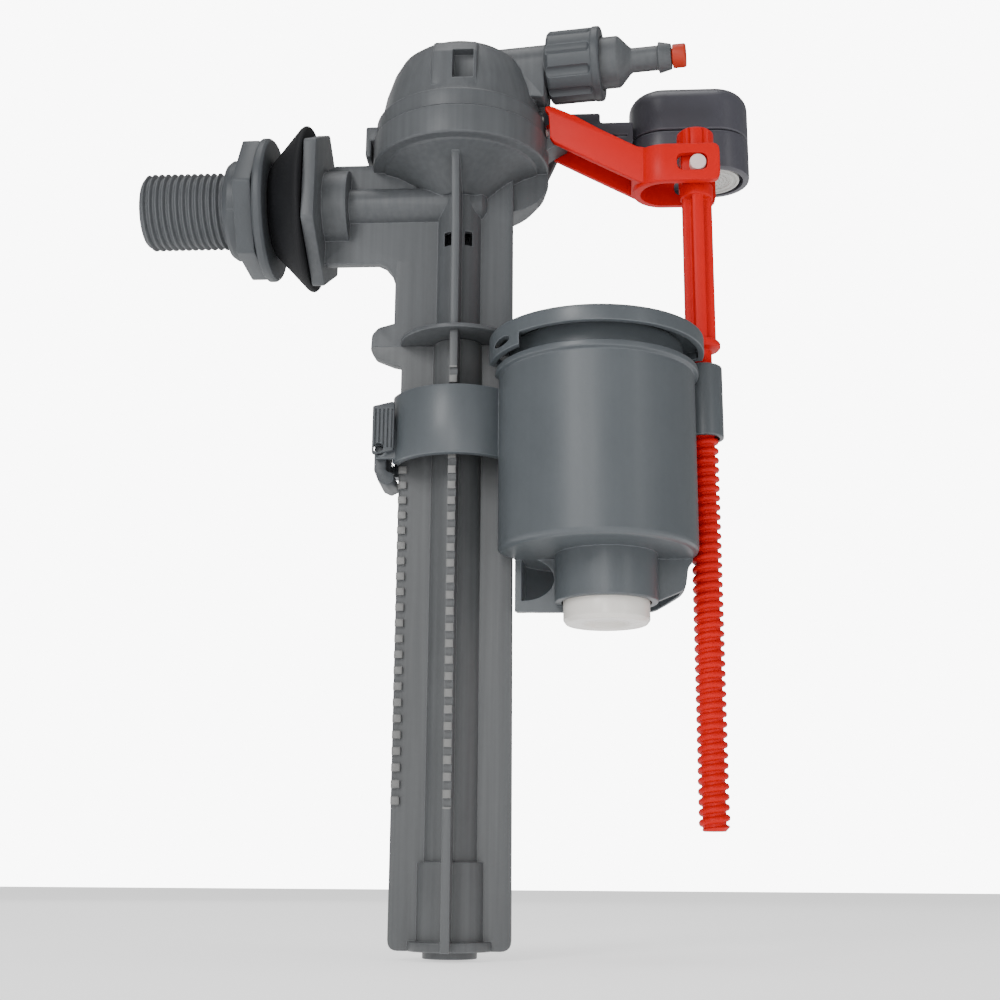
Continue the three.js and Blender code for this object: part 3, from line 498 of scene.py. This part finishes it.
def shank():
    crest, root = THREAD_RADIUS, THREAD_ROOT
    turn = [(root, 0), (root + 0.12, 0.34), (crest - 0.14, 0.72), (crest, 0.86), (crest, 1.02),
            (crest - 0.14, 1.16), (root + 0.12, 1.54)]
    thread = screw(turn, THREAD_PITCH, SHANK_END - 3, SEAT_X + 2, 64)
    thread.data.transform(Matrix.Rotation(math.pi / 2, 4, "Y"))
    room = turned([(0, SHANK_END), (root - 0.2, SHANK_END), (crest + 2, SHANK_END + 3),
                   (crest + 2, SEAT_X + 1), (0, SEAT_X + 1)], 96, 0, "X")
    flange = bar(hexagon(39, math.pi / 2), SEAT_X, SEAT_X + 3.4, 1.6, 0.4)
    boss = post(10.2, SEAT_X + 3, -30, axis="X", edge=0.3)
    tube = turned([(0, -31), (5.2, -31), (5.2, 4.4), (4.6, 6.2), (3.0, 7.3), (0, 7.7)], 64, 0.6, "X")
    return join(keep(thread, room), flange, boss, tube)


def body_plate():
    web = slab([(-37, 11), (-34.5, 12.4), (-12, 12.4), (-12, -16.8), (-37, -16.8)],
               -PLATE_HALF, PLATE_HALF, 1.2, 0.4)
    column = slab(box_of(-17.2, 14.4, JOINT_Z, 12), -PLATE_HALF, PLATE_HALF, 0, 0.3)
    fillet = slab([(-23, -16.2), (-17, -16.2), (-17, -23.4), (-18.2, -19.8), (-20, -17.6)],
                  -PLATE_HALF, PLATE_HALF)
    ear = keep(slab(EAR, -PLATE_HALF, PLATE_HALF, 2.2, 0.3), block(-30, 0, -5, 5, JOINT_Z, 0))
    side = [(0, JOINT_Z), (FIN_FRONT, JOINT_Z), (FIN_FRONT, -12), (-17, 8), (-17, 11), (0, 11)]
    fin = bar(side, -FIN_HALF, FIN_HALF, 0, 0.3)
    tube = post(6, JOINT_Z, 3)
    rib = keep(post(15.4, JOINT_Z, JOINT_Z + 1.1, edge=0.25, segments=96), block(-16, 16, -16, 0, -42, -36))
    boss = post(4.2, -9.6, 1, RETURN_AXIS, edge=0.4)
    return join(web, column, fillet, ear, fin, tube, rib, boss)


def bowl():
    dish = turned([(0, 1), (7, 1), (10, 3.6), (13, 6), (17, 8.2), (20.6, 9.4), (21, 9.9), (23.6, 9.9),
                   (24, 10.3), (24, 17.8), (0, 17.8)], 144, 0.3)
    back = keep(turned([(0, -2.4), (10, -2), (17, -0.6), (21, 1.4), (23.2, 4), (24, 6.4), (24, 10.9),
                        (0, 10.9)], 144, 0.5), block(-25, 25, 1.2, 25, -20, 20))
    return join(dish, back)


def main_body():
    whole = join(shank(), body_plate(), bowl())
    chamber = post(20.4, 12.2, 20, segments=96)
    ring = turned([(5.8, 14), (5.8, 4.4), (9, 4.4), (13, 8.2), (17.2, 10.2), (17.2, 14), (5.8, 14)], 96, 0)
    behind = keep(turned([(0, 1), (16, 1.6), (20.4, 6), (20.4, 9), (0, 9)], 96, 0),
                  block(-25, 25, 7.6, 25, -20, 20))
    cut(whole, chamber, ring, post(6, 8.6, 14), behind,
        post(6.2, SHANK_END - 1, -59, axis="X"), post(2.8, -59.5, 3, axis="X", segments=32),
        post(2.6, 0, 9, segments=32), post(4.6, -60, -5.4), post(2.2, -6, 6, RETURN_AXIS, segments=32),
        block(-2, 2, 0, 7, -8, -5.6),
        block(-3.7, -1.7, -7, 0, -13.8, -9.8), block(1.7, 3.7, -7, 0, -13.8, -9.8))
    riser = cut(post(5.8, -5, 8.6), post(2.6, 0, 9, segments=32), post(2.8, -20, 3, axis="X", segments=32))
    lug = slab([(22.5, 13.2), (25.4, 15.4), (29, 17.4), (29.7, 20), (28.4, 23), (26.5, 23.3), (24.8, 22.4),
                (24.2, 20.5), (24.1, 17.9), (22.5, 17.7)], -4, 4, 0.5, 0.4)
    cut(lug, post(1.8, -5, 5, LEVER_AXIS, "Y"))
    ear = slab([(8, 10.5), (20, 10.5), (27, 26), (27, 32), (20.5, 32.4), (14.4, 18), (8, 17.6)], 19.4, 22.2,
               1.4, 0.4)
    cut(ear, post(1.5, 18, 24, ARM_AXIS, "Y"))
    join(whole, riser, lug, ear)
    groove = turned([(20.3, 16.6), (22.3, 16.6), (22.3, 20), (20.3, 20), (20.3, 16.6)], 96, 0)
    stand_in("main_body", cut(whole, groove), GREY)


# ------------------------------------------------------------------ lower column
def guide_column():
    top = JOINT_Z - 0.03
    plate = slab([(-15, top), (14.6, top), (14.8, COLUMN_FOOT), (-15, COLUMN_FOOT)],
                 -PLATE_HALF, PLATE_HALF, 2.6, 0.3)
    square = block(-15, 14.6, -PLATE_HALF, PLATE_HALF, top - 6, top, 0.2)
    ear = keep(slab(EAR, -PLATE_HALF, PLATE_HALF, 2.2, 0.3), block(-30, 0, -5, 5, -60, top))
    tube = post(6.6, -196, top, edge=0.3)
    sleeve = keep(post(8.2, -193, -173.5, edge=0.5), block(-9, 9, -9, 0, -200, -170))
    foot = keep(post(10.3, COLUMN_FOOT, -192, edge=0.4), block(-11, 11, -11, 0, -200, -190))
    fin = block(-FIN_HALF, FIN_HALF, FIN_FRONT, 0, COLUMN_FOOT, top, 0.25)
    spigot = post(4.25, top - 2, -32, edge=0.3)
    whole = join(plate, square, ear, tube, sleeve, foot, fin, spigot)
    for i in range(22):
        z = -74 - i * 4
        join(whole, block(-14.95, -12.7, -2.6, 0, z - 2, z, 0.2))
    for i in range(28):
        z = -51 - i * 4
        cut(whole, block(-2, 2, FIN_FRONT - 1, FIN_FRONT + 0.9, z - 2, z, 0.15))
    cut(whole, post(4.9, -200, -45), post(3.3, -50, -30))
    stand_in("guide_column", whole, GREY_COLUMN)


# ------------------------------------------------------------------ shank fittings
def shank_fittings():
    strainer = turned([(5, -86), (5.8, -86), (5.8, -61.5), (0, -61.5), (0, -62.3), (5, -62.3), (5, -86)],
                      64, 0.15, "X")
    for row in range(2):
        for i in range(4):
            x = -83.4 + row * 10
            cut(strainer, moved(block(x, x + 8.4, -8, 8, -0.8, 0.8), spin=i * math.pi / 4, about="X"))
    stand_in("inlet_strainer", strainer, WHITE)
    stand_in("flow_regulator", cut(post(5.8, -61, -59.4, axis="X", edge=0.3),
                                   post(1.4, -70, -50, axis="X")), BLACK)

    cone = turned([(NUT_BORE, -50.5), (12.8, -50.5), (21.9, -42.1), (22.4, -41.4), (22.4, -40.8), (22, -40.3),
                   (NUT_BORE, -40.3), (NUT_BORE, -50.5)], 128, 0.4, "X")
    stand_in("cone_washer", cone, BLACK)
    washer = turned([(NUT_BORE, -53.6), (18.6, -53.6), (19.4, -53), (19.4, -51.6), (18.8, -50.8),
                     (NUT_BORE, -50.8), (NUT_BORE, -53.6)], 128, 0.35, "X")
    stand_in("clamp_washer", washer, GREY_DARK)

    boss = turned([(0, -62.8), (12.6, -62.8), (13.6, -61.4), (13.6, -58), (0, -58)], 128, 0.5, "X")
    nut = join(boss, bar(hexagon(33, 0), -58.9, -53.9, 1.3, 0.5))
    cut(nut, block(-61.4, -59, -16, -12.4, -8.6, -5.2, 0.2))
    bore = screw([(NUT_BORE, 0), (NUT_BORE + 0.6, 0.9)], THREAD_PITCH, -66, -50, 48)
    bore.data.transform(Matrix.Rotation(math.pi / 2, 4, "Y"))
    stand_in("backnut", cut(nut, bore), GREY_DARK)


# ------------------------------------------------------------------ inside the head
def head_internals():
    inner = [
        ("valve_seat", WHITE,
         [(2.8, 8.9), (5.4, 8.9), (5.4, 10), (4.5, 10.2), (4.2, 11), (3.6, 11), (2.8, 10.2), (2.8, 8.9)]),
        ("diaphragm", BLACK,
         [(6.3, 12.5), (20, 12.5), (20, 13.7), (6.3, 13.7), (6.3, 12.5)]),
        ("valve_plunger", WHITE,
         [(0, 14), (3.2, 14), (3.2, 13.4), (5.9, 13.4), (5.9, 16.2), (8.4, 16.2), (8.4, 17.4), (3, 17.4),
          (1.2, 21), (0, 21)]),
        ("plunger_seal", BLACK,
         [(0, 12.2), (5.7, 12.2), (5.7, 13.1), (2.9, 13.1), (2.9, 13.7), (0, 13.7)]),
        ("cap_gasket", BLACK,
         [(20.7, 16.9), (21.9, 16.9), (21.9, 17.8), (20.7, 17.8), (20.7, 16.9)]),
    ]
    for node, material, profile in inner:
        stand_in(node, turned(profile, 96, 0.15), material)


# ------------------------------------------------------------------ head cap
OUTLET_Z = 39.3
OUTLET_TURN = math.radians(-8)


def outlet(piece):
    """Sets a piece made about X onto the cap's side outlet."""
    piece.data.transform(Matrix.Rotation(OUTLET_TURN, 4, "Z") @ Matrix.Translation((0, 0, OUTLET_Z)))
    return piece


def head_cap():
    shell = turned([(17, 14), (20.1, 14), (20.1, 18.1), (23.3, 18.1), (23.3, 22.6), (23.1, 22.9),
                    (22.3, 23.3), (22, 24.2), (20.9, 30), (19, 36), (17, 39.8), (14.4, 42), (11.5, 43.3),
                    (6, 44.5), (0, 44.9), (0, 36), (11, 35), (14.6, 29), (14.6, 25), (17, 22), (17, 14)],
                   144, 0.5)
    front = bar([(0, 24.4), (-21.5, 24.4), (-21.2, 31), (-20.4, 35.6), (-17.4, 39.8), (-12.6, 42.5),
                 (0, 44.3)], -6.4, 5.8, 1.6, 0.9)
    inside = turned([(0, 10), (16.9, 10), (16.9, 22), (14.5, 25), (14.5, 29), (11, 35), (0, 36)], 96, 0)
    spout = outlet(post(6.5, 6, 24.4, axis="X"))
    collar = outlet(turned([(0, 24), (6.5, 24), (7.6, 25.2), (7.6, 32.4), (7.2, 32.9), (0, 32.9)],
                           64, 0.3, "X"))
    gusset = moved(slab([(10, 25), (20.6, 27.2), (24.3, 30), (24.3, 36), (10, 36)], -4.6, 4.6, 0.8, 0.5),
                   spin=OUTLET_TURN)
    web = moved(slab([(8.7, 39.3), (8.7, 35.6), (19.8, 28), (24.2, 27.3), (24.2, 39.3)], -6.4, 0, 0.8, 0.8),
                spin=OUTLET_TURN)
    boss = post(3, 16, 22.4, PILOT_AXIS, "X", edge=0.4)
    whole = cut(join(front, spout, collar, gusset, web, boss), inside)
    join(whole, shell)
    for turn in (math.pi, math.pi * 0.53):
        join(whole, moved(block(24.4, 26, -4.2, 4.2, 13.6, 22.6, 0.5), spin=turn),
             moved(block(21, 25.2, -4.2, 4.2, 18.4, 22.6, 0.4), spin=turn))
    cut(whole, block(-0.8, 4.8, -25, -17, 27, 36, 0.3), outlet(post(4.2, 8, 34, axis="X")),
        post(2.1, 12, 24, PILOT_AXIS, "X"))
    stand_in("head_cap", whole, GREY)

    nozzle = turned([(0.6, 17.4), (1.8, 17.4), (1.8, 22.2), (1.1, 22.8), (0.6, 22.8), (0.6, 17.4)], 48,
                    0.15, "X")
    stand_in("pilot_nozzle", moved(nozzle, PILOT_AXIS), WHITE)


# ------------------------------------------------------------------ side outlet
def side_outlet():
    barb = turned([(0, 34.7), (7.6, 34.7), (7.6, 36.3), (6.9, 36.3), (6.9, 43.8), (6.5, 44.4), (3.7, 47),
                   (3.3, 47.6), (3.3, 54.6), (4.2, 54.9), (3.4, 58.3), (0, 58.3)], 96, 0.25, "X")
    cut(barb, post(2.3, 30, 60, axis="X"), post(4.2, 30, 42, axis="X"))
    stand_in("barb_nozzle", outlet(barb), GREY)
    gasket = turned([(4.4, 33.2), (7.4, 33.2), (7.4, 34.4), (4.4, 34.4), (4.4, 33.2)], 64, 0.3, "X")
    stand_in("nozzle_gasket", outlet(gasket), BLACK)
    insert = turned([(1.1, 50), (1.9, 50), (1.9, 58.6), (3.2, 58.6), (3.2, 61.8), (2.9, 62.2), (1.1, 62.2),
                     (1.1, 50)], 64, 0.25, "X")
    stand_in("flow_insert", outlet(insert), ORANGE)

    nut = turned([(0, 24.9), (9.2, 24.9), (9.8, 25.6), (9.8, 37.1), (10, 37.4), (10, 39), (9.6, 39.4),
                  (0, 39.4)], 96, 0.35, "X")
    for y, z in around(10, 10.9):
        flute = turned([(0, 24), (1.9, 24), (1.9, 36.3), (1.3, 37), (0, 37.2)], 32, 0.3, "X")
        cut(nut, moved(flute, (0, y, z)))
    cut(nut, post(8, 20, 36.6, axis="X"), post(7.3, 30, 45, axis="X"))
    stand_in("union_nut", outlet(nut), GREY_DARK)


# ------------------------------------------------------------------ lever
def fork_outline(half, far):
    arc = [(55.5 + half * math.cos(math.pi * (0.5 + k / 32)), half * math.sin(math.pi * (0.5 + k / 32)))
           for k in range(33)]
    return [(far, -half), (far, half)] + arc


def lever():
    side = [(23.3, 26.5), (25.2, 26.5), (31.4, 23.5), (38, 19.4), (48, 13.9), (52, 13.2), (52, 2.4),
            (48.5, 3.4), (36, 10.1), (25.6, 15.8), (24.6, 17.2), (24.2, 24.2), (23.3, 25.6)]
    arm = slab(side, -6, 6, 0.6, 0.45)
    hollow = slab([(20, 34), (26.2, 34), (26.2, 24.4), (31, 22.2), (37.6, 18.2), (46.5, 13.2), (46.5, 0),
                   (20, 0)], -4.4, 4.4)
    cut(arm, hollow)
    fork = keep(prism(fork_outline(8.5, 69.8), 2.4, 13.2, 0, 0.35),
                slab(box_of(46, 69.8, 2.4, 13.2), -10, 10, 2.6))
    join(arm, fork)
    slot = slab([(58.4, 5.3), (66.5, 5.3), (66.5, 10.3), (58.4, 10.3)], -12, 12, 2.4)
    cut(arm, prism(fork_outline(6.6, 80), 0, 20), slot, post(1.8, -5.2, 5.2, LEVER_AXIS, "Y"))
    join(arm, block(26.1, 27.6, -4.6, 4.6, 24.2, 25.9, 0.2))
    stand_in("lever", arm, RED)
    pin = turned([(0, -4.9), (1.3, -4.9), (1.5, -4.6), (1.5, 4.6), (1.3, 4.9), (0, 4.9)], 48, 0.1, "Y")
    stand_in("lever_pivot_pin", moved(pin, LEVER_AXIS), PINK)
    stand_in("pilot_pad", slab([(24.1, 23.6), (25.8, 23.6), (25.8, 26.2), (24.1, 26.2)], -2, 2, 0.5, 0.25),
             BLACK)

    pins = turned([(0, -8.7), (1.9, -8.7), (2.2, -8.4), (2.2, 8.4), (1.9, 8.7), (0, 8.7)], 48, 0.1, "Y")
    body = cut(slab(box_of(59.6, 68.4, 4.5, 13.8), -6.1, 6.1, 1.2, 0.5), post(3.1, 0, 20, ROD_AXIS),
               block(64, 70, -2.3, 2.3, 0, 20))
    stand_in("trunnion", body, RED, label="trunnion_block")
    pins = cut(moved(pins, (64, 0, 7.8)), block(50, 80, -6.1, 6.1, 0, 20))
    stand_in("trunnion", pins, PINK)


# ------------------------------------------------------------------ adjusting rod
def adjusting_rod():
    head = turned([(0, 20.2), (4.3, 20.2), (5, 19.5), (5, 14.7), (4.5, 14.1), (2.8, 14.1), (2.8, 4.2),
                   (4.4, 4.2), (4.4, 0.6), (2.4, 0), (2.4, -40), (4.6, -40.4), (5.1, -41), (5.1, -42),
                   (4.6, -42.6), (2.8, -43), (2.8, -51), (0, -51)], 64, 0.3)
    for x, y in around(6, 5.4):
        cut(head, post(1.1, 14, 21, (x, y, 0), segments=24))
    ribs = join(*[moved(block(-4, 4, -1.5, 1.5, -40.4, 1, 0.4), spin=turn) for turn in (0, math.pi / 2)])
    keep(ribs, post(4.05, -42, 2))
    root, crest = 2.9, 3.85
    turn = [(root, 0), (root + 0.05, 0.4), (crest - 0.3, 0.62), (crest - 0.04, 0.95), (crest, 1.3),
            (crest - 0.06, 1.65), (crest - 0.35, 1.98), (root + 0.05, 2.2)]
    room = turned([(0, -166), (2.7, -166), (5, -163.6), (5, -52), (3, -50), (0, -50)], 64, 0)
    thread = keep(screw(turn, 2.5, -169, -48, 32), room)
    stand_in("adjusting_rod", moved(join(head, ribs, thread), ROD_AXIS), RED)


# ------------------------------------------------------------------ float and bucket
BUCKET = (36.4, -9, 0)
BOSS = (38.4, -9, 0)


def bitten(profile, bite, groove, edge=0.5, segments=144):
    """A turned shape about the bucket's centre, hollowed at the side for the column and for the rod."""
    whole = moved(turned(profile, segments, edge), BUCKET)
    return cut(whole, post(bite, -200, 0, segments=128), post(groove, -200, 0, ROD_AXIS))


def disc(radius, low, high):
    """The profile of a plain disc for `turned`."""
    return [(0, low), (radius, low), (radius, high), (0, high)]


def float_body():
    plate = bitten(disc(27.6, -45.4, -43.5), 16.5, 6, 0.5)
    skirt = cut(bitten(disc(27.6, -47.6, -44), 16.5, 6, 0.3), bitten(disc(26, -50, -40), 18.1, 7.6, 0))
    hook_ring = cut(bitten(disc(27.6, -50.8, -46), 16.5, 6, 0.3), bitten(disc(26, -52, -40), 18.1, 7.6, 0))
    hook = keep(hook_ring, block(5, 17.5, -30, -8, -52, -45))
    sleeve = post(5.3, -67, -47.6, ROD_AXIS, edge=0.4)
    bridge = cut(block(58, 62, -4.4, 1.4, -51.5, -44, 0.4), post(5.9, -47.3, -40, ROD_AXIS))
    lid = join(plate, skirt, hook, sleeve, bridge)
    eye = post(1, -40, 0, axis="Y")
    eye.data.transform(Matrix.Translation((13, 0, -48.1)) @ Matrix.Diagonal((2.0, 1, 1.15, 1)))
    cut(lid, post(4.25, -80, -40, ROD_AXIS), eye)
    stand_in("float_lid", lid, GREY_CLEAN)
    cup = cut(bitten(disc(22.2, -93, -45.7), 19.6, 8, 0.6), bitten(disc(20.9, -100, -47.2), 20.9, 9.3, 0))
    stand_in("float_cup", cup, GREY_CLEAN)


def strap(radius, half_width, back):
    """The outline of a strap round the column: an arc at the front and two straight sides."""
    start = math.acos(half_width / radius)
    arc = [(radius * math.cos(math.pi + start + k / 48 * (math.pi - 2 * start)),
            0.6 + radius * math.sin(math.pi + start + k / 48 * (math.pi - 2 * start))) for k in range(49)]
    return [(half_width, back), (-half_width, back)] + arc


def collar():
    band = prism(strap(17.5, 17.2, 10.2), -74.6, -56.4, 0, 0.45)
    cut(band, prism(strap(15.7, 15.4, 8.4), -80, -50), block(-30, -14.8, -6.4, 6, -76, -55))
    for y0, y1, x in ((-8.3, -6.9, -14.4), (6.4, 7.8, -16)):
        join(band, slab([(x, -73.6), (-20.2, -73.6), (-20.6, -68.6), (-16, -66), (x, -66)], y0, y1, 0.8, 0.3))
    return cut(band, post(1.3, -12, 12, LATCH_AXIS, "Y"))


def bucket():
    wall = bitten([(0, -99.5), (23.6, -99.5), (24.4, -99.2), (24.85, -98.7), (25, -98), (25, -53.9),
                   (25.9, -53.5), (26, -53.3), (26, -52), (0, -52)], 16.3, 5.7, 0.2)
    ring = cut(bitten(disc(24, -113.5, -98.5), 16.3, 5.7, 0.4), bitten(disc(22.4, -120, -99.5), 17.9, 7.3, 0))
    keep(ring, block(0, 80, -5, 30, -114, -98))
    front = keep(bitten(disc(24, -113.5, -98.5), 16.3, 5.7, 0), block(0, 80, -5, -3.4, -114, -98))
    notch = post(1, -10, 0, axis="Y", segments=96)
    notch.data.transform(Matrix.Translation((17.6, 0, -104.5)) @ Matrix.Diagonal((7.8, 1, 5.5, 1)))
    foot = [(10, -112.6), (30, -113.1), (42, -112), (51.5, -110.1), (58.2, -107.3), (59.2, -100), (80, -100),
            (80, -130), (10, -130)]
    slope = [(-10, -114.1), (20, -108.6), (20, -130), (-10, -130)]
    cut(join(ring, cut(front, notch)), slab(foot, -60, 60, 3), bar(slope, 0, 80))
    boss = moved(post(12.8, -111.5, -98.5, edge=0.5, segments=96), BOSS)
    shell = join(wall, ring, boss, collar())
    room = bitten([(0, -97.7), (22.4, -97.7), (23.4, -96.6), (23.4, -53), (24, -52.4), (24, -50), (0, -50)],
                  17.9, 7.3, 0.3)
    opening = turned([(0, -115), (11.2, -115), (11.2, -106.5), (8.6, -106.5), (8.6, -97), (0, -97)], 96, 0)
    cut(shell, room, moved(opening, BOSS))
    for i in range(2):
        arm = moved(block(-9.4, 9.4, -1.2, 1.2, -103.5, -100.5, 0.3), spin=i * math.pi / 2 + 0.6)
        join(shell, moved(arm, BOSS))
    join(shell, moved(post(4, -103.5, -100.5, edge=0.3), BOSS))
    cut(shell, moved(post(2.3, -110, -95, segments=32), BOSS))
    stand_in("bucket", shell, GREY_CLEAN)


def latch():
    pad = slab([(-20.8, -60.2), (-15.2, -58.9), (-15.2, -72.1), (-20.8, -73.2)], -11, -9.6, 0.8, 0.35)
    side = slab([(-20.8, -60.2), (-19, -59.8), (-19, -65.6), (-20.8, -66.2)], -11, -6, 0.6, 0.3)
    arm = slab([(-20.8, -60.2), (-18.4, -59.6), (-17.7, -66), (-17.7, -76), (-15.6, -77), (-15.6, -79),
                (-17.6, -80), (-19.6, -79), (-20.8, -76)], -6.1, 5.7, 0.9, 0.3)
    whole = join(pad, side, arm)
    for i in range(5):
        x = -20.1 + i * 1.05
        cut(whole, block(x, x + 0.5, -12, -10.5, -71.4, -61, 0.1))
    cut(whole, post(1.3, -12, 12, LATCH_AXIS, "Y"))
    stand_in("height_latch", whole, GREY_DARK)
    stand_in("latch_pin", moved(post(1, -8.6, 8, axis="Y", edge=0.25), LATCH_AXIS), GREY_DARK)


def drain():
    stem = turned([(0, -96.6), (2.9, -97), (3.3, -98.6), (3.3, -100.2), (1.9, -100.2), (1.9, -110.3),
                   (10.7, -110.3), (10.7, -115.8), (10, -116.8), (6, -116.8), (5.2, -115.6), (0, -115.6)],
                  96, 0.5)
    stand_in("drain_valve", moved(stem, BOSS), WHITE)
    seal = turned([(2.3, -110), (10.2, -110), (10.2, -109), (2.3, -109), (2.3, -110)], 96, 0.3)
    stand_in("drain_seal", moved(seal, BOSS), BLACK)


# ------------------------------------------------------------------ dark arm and oval chamber
CHAMBER = (63.8, 21)


def stadium(inset):
    radius = 10 - inset
    points = []
    for side, turn in ((7, -math.pi / 2), (-7, math.pi / 2)):
        points += [(CHAMBER[0] + side + radius * math.cos(turn + math.pi * k / 32),
                    CHAMBER[1] + radius * math.sin(turn + math.pi * k / 32)) for k in range(33)]
    return points


def stadium_loft(layers):
    """A solid through a stack of stadium outlines given as (inset, height)."""
    count = len(stadium(0))
    vertices = [(x, y, z) for inset, z in layers for x, y in stadium(inset)]
    faces = [list(range(count)), list(range(len(vertices) - count, len(vertices)))]
    for row in range(len(layers) - 1):
        for k in range(count):
            j = (k + 1) % count
            faces.append([row * count + k, row * count + j, (row + 1) * count + j, (row + 1) * count + k])
    return solid(vertices, faces)


def chamber():
    dome = [(0.3, 27.9), (0, 28.2), (0, 37.4)]
    dome += [(5 - 5 * math.cos(math.pi / 2 * k / 12), 37.4 + 5 * math.sin(math.pi / 2 * k / 12))
             for k in range(1, 13)]
    lid = cut(stadium_loft(dome), stadium_loft([(1.8, 20), (1.8, 37.9)]))
    stand_in("chamber_lid", lid, SLATE)
    shell = stadium_loft([(0.6, 16), (0.15, 16.2), (0, 16.7), (0, 27.2), (0.3, 27.6)])
    cut(shell, stadium_loft([(1.8, 19.8), (1.8, 30)]), stadium_loft([(1.8, 10), (1.8, 18.2)]),
        post(6.4, 10, 30, SCREEN_AXIS))
    stand_in("chamber_shell", shell, SLATE)
    screen = moved(turned([(0, 16.6), (5.4, 16.6), (5.4, 16.2), (6.2, 16.2), (6.2, 16.6), (7.2, 16.6),
                           (7.2, 16.2), (7.9, 16.2), (7.9, 17.9), (0, 17.9)], 96, 0.12), SCREEN_AXIS)
    for radius, count in ((1.1, 6), (2.2, 12), (3.3, 18), (4.4, 24)):
        for x, y in around(count, radius):
            at = (SCREEN_AXIS[0] + x, SCREEN_AXIS[1] + y, 0)
            cut(screen, post(0.3, 10, 20, at, segments=10))
    stand_in("chamber_screen", screen, PALE)


def guard_arm():
    near = CHAMBER[0] - 16.1
    arm = slab([(20.4, 25.2), (near, 24.8), (near, 31.8), (38.4, 31.8), (38.4, 34.8), (24.2, 34.8),
                (24.2, 38.2), (20.4, 38.2)], 13.2, 19, 0.8, 0.4)
    cut(arm, post(1.5, 10, 30, ARM_AXIS, "Y"), block(26, 46, 12, 13.8, 27.1, 27.8, 0.1),
        stadium_loft([(-CHAMBER_GAP, 20), (-CHAMBER_GAP, 40)]))
    stand_in("guard_arm", arm, SLATE)
    stand_in("guard_pin", moved(post(1.2, 13.4, 22, axis="Y", edge=0.3), ARM_AXIS), PINK)


# ------------------------------------------------------------------ the whole valve
look_camera()
studio()
main_body()
guide_column()
shank_fittings()
head_internals()
head_cap()
side_outlet()
lever()
adjusting_rod()
float_body()
bucket()
latch()
drain()
chamber()
guard_arm()
